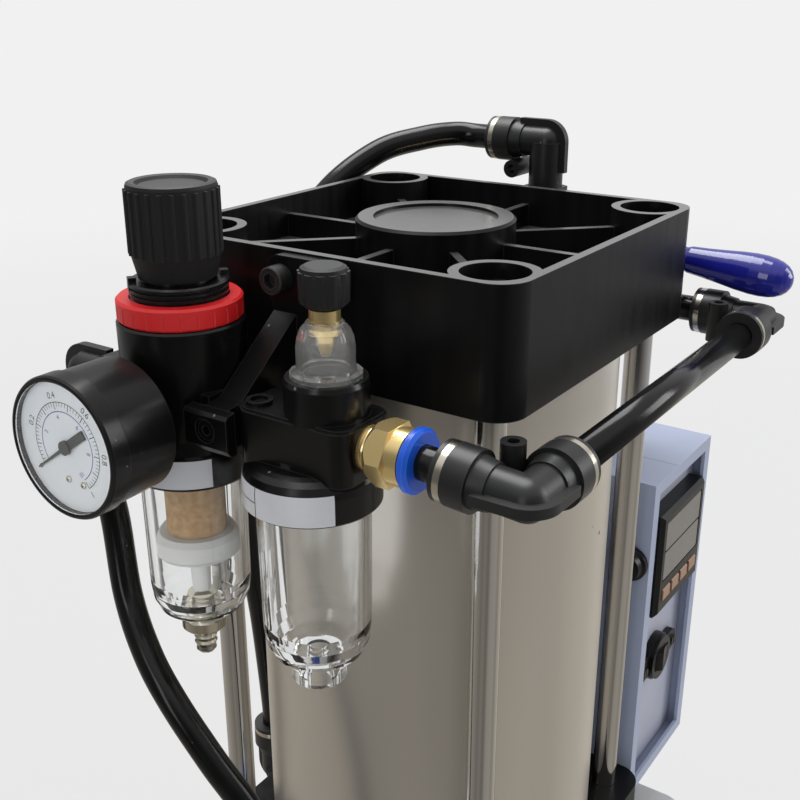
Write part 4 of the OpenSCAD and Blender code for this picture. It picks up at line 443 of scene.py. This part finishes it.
# each "edge" colour below is a painted highlight on sharp edges, and each "top" colour is a painted sheen on upward
# faces
finishes = {
    "plateGrey": {"base": (0.62, 0.62, 0.61), "second": (0.68, 0.68, 0.67), "rough": (0.35, 0.5), "grain": 700.0,
                  "bump": 0.4, "edge": (0.8, 0.8, 0.8)},
    "chromeRod": {"base": (0.74, 0.73, 0.71), "second": (0.64, 0.63, 0.61), "rough": (0.06, 0.13), "metal": 1.0,
                  "grain": 300.0, "stretch": (1, 1, 0.06), "bump": 0.15},
    "groundSteel": {"base": (0.56, 0.56, 0.57), "second": (0.47, 0.47, 0.48), "rough": (0.25, 0.4), "metal": 1.0,
                    "grain": 500.0, "stretch": (1, 1, 6), "bump": 0.3},
    "blackOxide": {"base": (0.022, 0.022, 0.023), "second": (0.035, 0.035, 0.036), "rough": (0.35, 0.5), "metal": 0.5,
                   "edge": (0.13, 0.13, 0.13), "bump": 0.3},
    "vicePaint": {"base": (0.07, 0.1, 0.14), "second": (0.09, 0.12, 0.16), "rough": (0.35, 0.5), "grain": 400.0,
                  "bump": 0.8, "edge": (0.25, 0.27, 0.3), "dust": 0.03},
    "brass": {"base": (0.90, 0.68, 0.30), "second": (0.94, 0.75, 0.38), "rough": (0.24, 0.34), "metal": 0.85,
              "edge": (0.95, 0.8, 0.5), "bump": 0.2},
    "bandSteel": {"base": (0.58, 0.56, 0.52), "second": (0.5, 0.47, 0.42), "rough": (0.28, 0.42), "metal": 1.0,
                  "stretch": (1, 1, 8), "bump": 0.3},
    "castAlloy": {"base": (0.66, 0.66, 0.68), "second": (0.58, 0.58, 0.6), "rough": (0.35, 0.5), "metal": 1.0},
    "sealRubber": {"base": (0.02, 0.02, 0.02), "second": (0.03, 0.03, 0.03), "rough": (0.6, 0.8)},
    # capCast's "top" colour is a painted sheen on the upward rims and boss
    "capCast": {"base": (0.0040, 0.0040, 0.0042), "second": (0.0062, 0.0062, 0.0064), "rough": (0.3, 0.4),
                "grain": 1500.0, "slow": 260.0, "stretch": (1, 1, 0.035), "depth": 0.00003, "bump": 0.7,
                "edge": (0.06, 0.06, 0.06), "edgeGain": 2.0, "top": (0.085, 0.085, 0.086), "topSpan": (0.95, 0.9685),
                "topRough": 0.3, "topCoat": 0.9, "coatRough": 0.16, "specular": 0.2},
    "blackCast": {"base": (0.0036, 0.0036, 0.0038), "second": (0.0055, 0.0055, 0.0057), "rough": (0.22, 0.32),
                  "grain": 520.0, "depth": 0.00003, "bump": 0.5, "edge": (0.035, 0.035, 0.035), "dust": 0.04,
                  "specular": 0.36},
    "tubeAlloy": {"base": (0.80, 0.76, 0.70), "second": (0.74, 0.70, 0.64), "rough": (0.30, 0.37), "metal": 0.88,
                  "grain": 1600.0, "slow": 14.0, "bump": 0.25, "stretch": (1, 1, 0.3), "dust": 0.004, "dustSize": 150.0,
                  "dustTone": (0.12, 0.1, 0.08)},
    # knobBlack's "top" colour is a painted sheen on the knob's upward faces
    "knobBlack": {"base": (0.012, 0.012, 0.0122), "second": (0.016, 0.016, 0.0163), "rough": (0.5, 0.6),
                  "grain": 2200.0, "depth": 0.00006, "bump": 0.6, "edge": (0.04, 0.04, 0.04), "edgeWidth": 0.0004,
                  "top": (0.06, 0.062, 0.061), "topSpan": (0.93, 1.0), "topRough": 0.5, "specular": 0.28},
    "fittingBlack": {"base": (0.011, 0.0115, 0.012), "second": (0.016, 0.0165, 0.017), "rough": (0.34, 0.43),
                     "grain": 900.0, "edge": (0.04, 0.04, 0.04), "edgeWidth": 0.0004, "dust": 0.02, "dustSize": 420.0},
    "blackPlastic": {"base": (0.005, 0.005, 0.0055), "second": (0.008, 0.008, 0.0085), "rough": (0.3, 0.4),
                     "edge": (0.05, 0.05, 0.05), "edgeWidth": 0.0004, "dust": 0.02, "dustSize": 420.0,
                     "specular": 0.3},
    "redPlastic": {"base": (0.66, 0.008, 0.012), "second": (0.74, 0.014, 0.017), "rough": (0.34, 0.44),
                   "edge": (0.8, 0.1, 0.09), "edgeWidth": 0.0003, "dust": 0.05, "dustSize": 700.0,
                   "dustTone": (0.75, 0.4, 0.4)},
    "sinteredBronze": {"base": (0.56, 0.36, 0.18), "second": (0.42, 0.25, 0.11), "rough": (0.7, 0.9), "grain": 2500.0,
                       "slow": 500.0, "depth": 0.0001, "bump": 1.0},
    "whitePlastic": {"base": (0.78, 0.78, 0.76), "second": (0.72, 0.72, 0.7), "rough": (0.35, 0.45)},
    "nickel": {"base": (0.70, 0.66, 0.56), "second": (0.60, 0.56, 0.46), "rough": (0.18, 0.28), "metal": 1.0},
    "gaugeBlack": {"base": (0.0065, 0.0065, 0.0068), "second": (0.009, 0.009, 0.0094), "rough": (0.22, 0.3),
                   "edge": (0.05, 0.05, 0.05), "edgeWidth": 0.0005, "dust": 0.03, "dustSize": 500.0,
                   "specular": 0.27},
    "dialWhite": {"base": (0.90, 0.94, 0.97), "second": (0.86, 0.90, 0.94), "rough": (0.45, 0.55)},
    "dialInk": {"base": (0.01, 0.01, 0.013), "second": (0.02, 0.02, 0.023), "rough": (0.5, 0.6)},
    "dialBlue": {"base": (0.07, 0.07, 0.34), "second": (0.1, 0.1, 0.4), "rough": (0.5, 0.6)},
    "needleBlack": {"base": (0.008, 0.008, 0.008), "second": (0.014, 0.014, 0.014), "rough": (0.35, 0.45)},
    "bluePlastic": {"base": (0.012, 0.10, 0.66), "second": (0.016, 0.13, 0.74), "rough": (0.22, 0.32),
                    "edge": (0.1, 0.33, 0.95), "edgeWidth": 0.0004},
    "hoseBlack": {"base": (0.0052, 0.0055, 0.0055), "second": (0.008, 0.0083, 0.0083), "rough": (0.14, 0.22),
                  "slow": 60.0, "dust": 0.02, "dustSize": 420.0, "specular": 0.32},
    "leverBlue": {"base": (0.010, 0.012, 0.235), "second": (0.013, 0.016, 0.27), "rough": (0.14, 0.22), "coat": 0.5,
                  "grain": 200.0, "depth": 0.0001, "bump": 0.15},
    "boxPaint": {"base": (0.37, 0.42, 0.56), "second": (0.40, 0.45, 0.60), "rough": (0.35, 0.5), "grain": 600.0,
                 "bump": 0.5, "edge": (0.5, 0.54, 0.68), "edgeWidth": 0.0005},
    "panelPaint": {"base": (0.42, 0.44, 0.53), "second": (0.45, 0.47, 0.57), "rough": (0.4, 0.5), "grain": 600.0},
    "keyOrange": {"base": (0.34, 0.20, 0.13), "second": (0.40, 0.24, 0.16), "rough": (0.4, 0.5)},
    "displayGrey": {"base": (0.16, 0.155, 0.145), "second": (0.19, 0.185, 0.172), "rough": (0.2, 0.3), "slow": 80.0},
    "labelWhite": {"base": (0.66, 0.67, 0.70), "second": (0.60, 0.61, 0.64), "rough": (0.3, 0.42), "slow": 90.0},
    "labelInk": {"base": (0.02, 0.02, 0.02), "second": (0.035, 0.035, 0.035), "rough": (0.4, 0.5)},
}
clears = {
    "clearBowl": {"base": (0.98, 0.985, 0.985), "second": (0.95, 0.96, 0.96), "rough": (0.015, 0.05)},
    "clearDome": {"base": (0.97, 0.965, 0.95), "second": (0.94, 0.94, 0.93), "rough": (0.02, 0.06), "milk": 0.06},
    "lens": {"base": (0.98, 0.98, 0.98), "second": (0.96, 0.965, 0.97), "rough": (0.01, 0.03), "bump": 0.05},
}
mats = {name: makeFinish(name, look) for name, look in finishes.items()}
mats.update({name: makeClear(name, look) for name, look in clears.items()})

nodeFinish = {
    "base_plate": "plateGrey", "barrel_plate": "plateGrey", "upper_plate": "plateGrey", "columns": "chromeRod",
    "tie_rods": "chromeRod", "piston_rod": "chromeRod", "plunger": "groundSteel", "shaft_collars": "groundSteel",
    "m10_hardware": "blackOxide", "m6_screws": "blackOxide", "vice_body": "vicePaint", "vice_jaw": "groundSteel",
    "vice_screw": "groundSteel", "barrel": "groundSteel", "nozzle": "brass", "heater_bands": "bandSteel",
    "thermocouple": "bandSteel", "hopper": "bandSteel", "plunger_holder": "blackOxide", "piston": "castAlloy",
    "piston_seals": "sealRubber", "rod_bushing": "brass", "cap_top": "capCast", "cap_bottom": "capCast",
    "cylinder_tube": "tubeAlloy", "frl_bracket": "blackCast", "regulator_body": "blackCast",
    "regulator_knob": "knobBlack", "regulator_ring": "redPlastic", "regulator_bowl": "clearBowl",
    "filter_element": "sinteredBronze", "bowl_baffle": "whitePlastic", "drain_valve": "nickel",
    "lubricator_body": "blackCast", "lubricator_dome": "clearDome", "lubricator_knob": "knobBlack",
    "lubricator_bowl": "clearBowl", "gauge_case": "gaugeBlack", "gauge_dial": "dialWhite",
    "gauge_needle": "needleBlack", "gauge_lens": "lens", "fitting_bodies": "fittingBlack", "fitting_rings": "nickel",
    "brass_fittings": "brass", "blue_collets": "bluePlastic", "air_hoses": "hoseBlack", "valve_body": "blackCast",
    "valve_spool": "groundSteel", "valve_lever": "leverBlue", "box_shell": "boxPaint", "box_panel": "panelPaint",
    "controller": "blackPlastic", "key_1": "keyOrange", "key_2": "keyOrange", "key_3": "keyOrange",
    "key_4": "keyOrange", "switch_body": "blackPlastic", "switch_rocker": "blackPlastic", "box_outlets": "blackPlastic",
}
for name, finish in nodeFinish.items():
    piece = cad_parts[name]
    if not piece.material_slots:
        piece.data.materials.append(mats[finish])
    for slot in piece.material_slots:
        slot.material = mats[finish]
print("finishes assigned")


# ---- shapes shared by the pieces


def makePiece(name, points, faces, finish, body="machine", smooth=True):
    mesh = bpy.data.meshes.new(name)
    mesh.from_pydata([tuple(p) for p in points], [], faces)
    mesh.validate()
    mesh.update()
    for f in mesh.polygons:
        f.use_smooth = smooth
    obj = bpy.data.objects.new(name, mesh)
    bpy.context.collection.objects.link(obj)
    obj.data.materials.append(mats[finish])
    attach(obj, body)
    return obj


def easeThrough(points, steps):
    # a smooth line through the points, with the ends kept straight
    line = []
    last = len(points) - 1
    for i in range(last):
        a, b, c, d = points[max(i - 1, 0)], points[i], points[i + 1], points[min(i + 2, last)]
        for k in range(steps):
            u = k / steps
            line.append(0.5 * (2 * b + (c - a) * u + (2 * a - 5 * b + 4 * c - d) * u * u
                               + (3 * b - a - 3 * c + d) * u ** 3))
    line.append(points[last].copy())
    return line


def sweepTube(line, radius, sides, side):
    points, faces = [], []
    last = len(line) - 1
    u = Vector(side)
    for i, spot in enumerate(line):
        along = (line[min(i + 1, last)] - line[max(i - 1, 0)]).normalized()
        u = (u - along * u.dot(along)).normalized()
        v = along.cross(u)
        for k in range(sides):
            turn = 2 * math.pi * k / sides
            points.append(spot + radius * (math.cos(turn) * u + math.sin(turn) * v))
    for i in range(last):
        for k in range(sides):
            n = (k + 1) % sides
            faces.append((i * sides + k, i * sides + n, (i + 1) * sides + n, (i + 1) * sides + k))
    faces.append(tuple(range(sides - 1, -1, -1)))
    faces.append(tuple(last * sides + k for k in range(sides)))
    return points, faces


# ---- air hoses


hoses = {
    "radius": 0.005,
    "sides": 28,
    "steps": 8,
    "rear": [(97, 21, 13), (97, 33, 13), (97, 42, 13), (93, 50, 13.6), (81, 59, 12.4), (63, 70, 7.6), (41, 81, -8),
             (19, 86, -34), (4, 87, -70), (-8, 87, -110), (-9, 87, -150), (-4, 87, -190), (0, 87, -236),
             (0, 87, -248), (0, 87, -259)],
    "supply": [(-92, 77, -57.2), (-92, 77, -69.2), (-92, 76.8, -77.2), (-90.6, 73, -97.2), (-95, 65, -124.2),
               (-100.5, 51.5, -140.2), (-103, 38, -153.2), (-102.2, 22, -171.2), (-100, 10, -186.2),
               (-98, 0.3, -206.2), (-97.2, -5, -228.25), (-96, -6, -250.25), (-96, -6, -267.25), (-96, -6, -280.25),
               (-96, -6, -291.25)],
    "toLubricator": [(-92, -74.035, -45.548), (-92, -55.68, -44.2), (-92, -42.5, -44.2)],
    "across": [(-79, -87, -46.5), (82, -87, -46.5)],
    "toValve": [(95, -74, -46.5), (95, -46, -46.5)],
}


def layHose(name, table, side, curved):
    points = [atCap(*p) for p in table[name]]
    line = easeThrough(points, table["steps"]) if curved else points
    mesh = sweepTube(line, table["radius"], table["sides"], side)
    hose = makePiece(name + "Hose", *mesh, "hoseBlack")
    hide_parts("air_hoses")
    return hose, line


laid = {}
for name, side, curved in (("rear", (0, 0, 1), True), ("supply", (1, 0, 0), True), ("toLubricator", (1, 0, 0), False),
                           ("across", (0, 0, 1), False), ("toValve", (1, 0, 0), False)):
    laid[name] = layHose(name, hoses, side, curved)


def lineLength(line):
    return sum((b - a).length for a, b in zip(line, line[1:]))


for name, stiffness, lay in (("rear", "stiff", "loose"), ("supply", "stiff", "loose"), ("across", "stiff", "taut")):
    hose, line = laid[name]
    tuple(line[0])
    lineLength(line)
    [tuple(p) for p in line]
    print(name, "hose", round(lineLength(line), 3), "m")
print("hoses laid")


# ---- pressure gauge: print, numbers and screws on the dial


gauge = {
    "printLift": 0.04,  # mm that the print stands before the dial
    "longEvery": 5,  # every fifth tick is long and wider
    "longWide": 1.5,
    "arcSteps": 90,
    "zero": 215.0,  # where the scale starts, degrees from the right, counted upwards
    "sweep": 270.0,
    "steps": 50,
    "tickOut": 12.9,
    "tickIn": 11.7,
    "longIn": 10.9,
    "tickWide": 0.17,
    "arcs": [(12.9, 13.12, "dialInk"), (10.15, 10.42, "dialBlue")],
    "numbers": [("0", 0.0), ("0.2", 0.2), ("0.4", 0.4), ("0.6", 0.6), ("0.8", 0.8), ("1", 1.0)],
    "numberAt": 14.9,
    "numberSize": 2.7,
    "innerNumbers": [("0", 0.0), ("2", 0.2), ("4", 0.4), ("6", 0.6), ("8", 0.8), ("10", 1.0)],
    "innerAt": 8.6,
    "innerSize": 2.0,
    "screws": [(9.9, -94.0), (11.6, -63.0)],
}


def dialFrame(g):
    low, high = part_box("gauge_dial")
    centre = (Vector(low) + Vector(high)) / 2
    return Vector((low[0] - g["printLift"] / 1000, centre[1], centre[2]))


dialAt = dialFrame(gauge)


def onDial(across, up, lift=0.0):  # mm on the dial, seen from the front
    return dialAt + Vector((-lift, -across, up)) / 1000


def polar(radius, angle, lift=0.0):
    return onDial(radius * math.cos(math.radians(angle)), radius * math.sin(math.radians(angle)), lift)


def scaleAngle(g, share):
    return g["zero"] - share * g["sweep"]


def printDial(g):
    points, faces = [], []
    for i in range(g["steps"] + 1):
        angle = math.radians(scaleAngle(g, i / g["steps"]))
        isLong = i % g["longEvery"] == 0
        inner = g["longIn"] if isLong else g["tickIn"]
        wide = g["tickWide"] * (g["longWide"] if isLong else 1.0) / 2
        c, s = math.cos(angle), math.sin(angle)
        start = len(points)
        for r, w in ((inner, -wide), (g["tickOut"], -wide), (g["tickOut"], wide), (inner, wide)):
            points.append(onDial(r * c - w * s, r * s + w * c))
        faces.append((start + 3, start + 2, start + 1, start))
    makePiece("dialTicks", points, faces, "dialInk", smooth=False)
    for i, (inner, outer, finish) in enumerate(g["arcs"]):
        points, faces = [], []
        for k in range(g["arcSteps"] + 1):
            angle = scaleAngle(g, k / g["arcSteps"])
            points += [polar(inner, angle), polar(outer, angle)]
        for k in range(g["arcSteps"]):
            faces.append((2 * k, 2 * k + 1, 2 * k + 3, 2 * k + 2))
        makePiece("dialArc" + str(i + 1), points, faces, finish, smooth=False)


def writeNumbers(name, rows, radius, size, g, finish):
    points, faces = [], []
    for text, share in rows:
        curve = bpy.data.curves.new(name + text, "FONT")
        curve.body = text
        curve.size = size
        curve.align_x = "CENTER"
        curve.align_y = "CENTER"
        carrier = bpy.data.objects.new(name + text, curve)
        bpy.context.collection.objects.link(carrier)
        bpy.context.view_layer.update()
        flat = bpy.data.meshes.new_from_object(carrier.evaluated_get(bpy.context.evaluated_depsgraph_get()))
        turn = math.radians(scaleAngle(g, share) - 90)
        mid = Vector((radius * math.cos(turn + math.pi / 2), radius * math.sin(turn + math.pi / 2)))
        start = len(points)
        for v in flat.vertices:
            across = mid.x + v.co.x * math.cos(turn) - v.co.y * math.sin(turn)
            up = mid.y + v.co.x * math.sin(turn) + v.co.y * math.cos(turn)
            points.append(onDial(across, up))
        for f in flat.polygons:
            faces.append(tuple(start + k for k in f.vertices))
        bpy.data.objects.remove(carrier)
        bpy.data.meshes.remove(flat)
        bpy.data.curves.remove(curve)
    return makePiece(name, points, faces, finish, smooth=False)


def latheAt(place, profile, sides):  # profile of (radius, height), turned round the axis that place() gives
    points, faces = [], []
    for r, h in profile:
        for k in range(sides):
            turn = 2 * math.pi * k / sides
            points.append(place(r * math.cos(turn), r * math.sin(turn), h))
    for i in range(len(profile) - 1):
        for k in range(sides):
            n = (k + 1) % sides
            faces.append((i * sides + k, i * sides + n, (i + 1) * sides + n, (i + 1) * sides + k))
    faces.append(tuple((len(profile) - 1) * sides + k for k in range(sides)))
    return points, faces


def setDialScrews(g):  # small cross slot screws that hold the dial
    for i, (radius, angle) in enumerate(g["screws"]):
        x = radius * math.cos(math.radians(angle))
        y = radius * math.sin(math.radians(angle))
        dome = [(1.05, 0.0), (1.05, 0.18), (0.9, 0.42), (0.55, 0.58), (0.0001, 0.64)]
        points, faces = latheAt(lambda a, b, h: onDial(x + a, y + b, h), dome, 24)
        makePiece("dialScrew" + str(i + 1), points, faces, "nickel")
        for j, lean in enumerate((20, 110)):
            c, s = math.cos(math.radians(lean)), math.sin(math.radians(lean))
            slot = [onDial(x + a * c - b * s, y + a * s + b * c, 0.66) for a, b in
                    ((-0.62, -0.11), (0.62, -0.11), (0.62, 0.11), (-0.62, 0.11))]
            makePiece("dialScrewSlot" + str(2 * i + j + 1), slot, [(3, 2, 1, 0)], "dialInk", smooth=False)


printDial(gauge)
writeNumbers("dialNumbers", gauge["numbers"], gauge["numberAt"], gauge["numberSize"], gauge, "dialInk")
writeNumbers("dialInnerNumbers", gauge["innerNumbers"], gauge["innerAt"], gauge["innerSize"], gauge, "dialBlue")
setDialScrews(gauge)
print("dial printed")


# ---- blank paper labels on the two bowl skirts


labels = {
    "regulatorLabel": {"at": (frlX, regY), "edge": [(-57.5, 19.53), (-62, 19.53), (-66.6, 19.53)],
                       "span": (128.0, 242.7),
                       "line": 176.0},
    "lubricatorLabel": {"at": (frlX, lubY), "edge": [(-55.4, 20.15), (-56.3, 20.3), (-57.2, 20.43), (-60.8, 20.43),
                                                    (-64.5, 20.43)], "span": (122.0, 235.6), "line": 166.5},
    "thick": 0.09,  # mm that the paper and its rules stand off the skirt
    "ink": 0.13,
    "inkWide": 0.28,
    "turns": 48,
    "ruleSteps": 12,
}


def stickLabel(name, row, table):
    turns = table["turns"]
    low, high = row["span"]

    def at(angle, height, radius):
        a = math.radians(angle)
        return atCap(row["at"][0] + radius * math.cos(a), row["at"][1] + radius * math.sin(a), height)

    points, faces = [], []
    rows = row["edge"]
    for z, r in rows:
        for k in range(turns + 1):
            points.append(at(low + (high - low) * k / turns, z, r + table["thick"]))
    wide = turns + 1
    for i in range(len(rows) - 1):
        for k in range(turns):
            a = i * wide + k
            faces.append((a, a + wide, a + wide + 1, a + 1))
    makePiece(name, points, faces, "labelWhite")
    # thin upright rule and a short level one, as on a blank form
    lines = []
    a = row["line"]
    w = math.degrees(table["inkWide"] / rows[-1][1])
    lines.append([(a, z, r) for z, r in rows] + [(a + w, z, r) for z, r in reversed(rows)])
    mid = (rows[0][0] + rows[-1][0]) / 2
    r = rows[-2][1]
    steps = table["ruleSteps"]
    level = [(low + (a - low) * k / steps, mid, r) for k in range(steps + 1)]
    lines.append(level + [(b, mid - table["inkWide"], r) for b, _, _ in reversed(level)])
    points, faces = [], []
    for line in lines:
        start, half = len(points), len(line) // 2
        points += [at(b, z, r + table["ink"]) for b, z, r in line]
        for k in range(half - 1):
            faces.append((start + k, start + k + 1, start + len(line) - 2 - k, start + len(line) - 1 - k))
    makePiece(name + "Rules", points, faces, "labelInk", smooth=False)


for name in ("regulatorLabel", "lubricatorLabel"):
    stickLabel(name, labels[name], labels)
print("labels on")


# ---- controller display


display = {
    "panes": [(-7.5, 5.6), (6.5, 19.5)],  # low and high edge of each line, mm from the middle of the front
    "half": 19.4,
    "back": 0.48,
    "thick": 0.34,
    "round": 0.8,
}


def fitDisplay(d):
    low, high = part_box("controller")
    midX, midZ, front = (low[0] + high[0]) / 2, (low[2] + high[2]) / 2, low[1]
    for i, (z0, z1) in enumerate(d["panes"]):
        outline = []
        for cx, cz, a0 in ((1, 1, 0), (-1, 1, 90), (-1, -1, 180), (1, -1, 270)):
            x = cx * (d["half"] - d["round"])
            z = (z1 - d["round"]) if cz > 0 else (z0 + d["round"])
            for k in range(5):
                a = math.radians(a0 + 22.5 * k)
                outline.append((x + d["round"] * math.cos(a), z + d["round"] * math.sin(a)))
        count = len(outline)
        points = []
        for depth, inset in ((d["back"], 0.0), (d["back"] - d["thick"] + 0.1, 0.0), (d["back"] - d["thick"], 0.1)):
            for x, z in outline:
                k = 1 - inset / d["half"]
                points.append(Vector((midX + x * k / 1000, front + depth / 1000, midZ + z / 1000)))
        faces = [tuple(range(2 * count, 3 * count))]
        for ring in range(2):
            for k in range(count):
                n = (k + 1) % count
                faces.append((ring * count + k, ring * count + n, (ring + 1) * count + n, (ring + 1) * count + k))
        makePiece("displayLine" + str(i + 1), points, faces, "displayGrey", smooth=False)


fitDisplay(display)
print("display fitted")
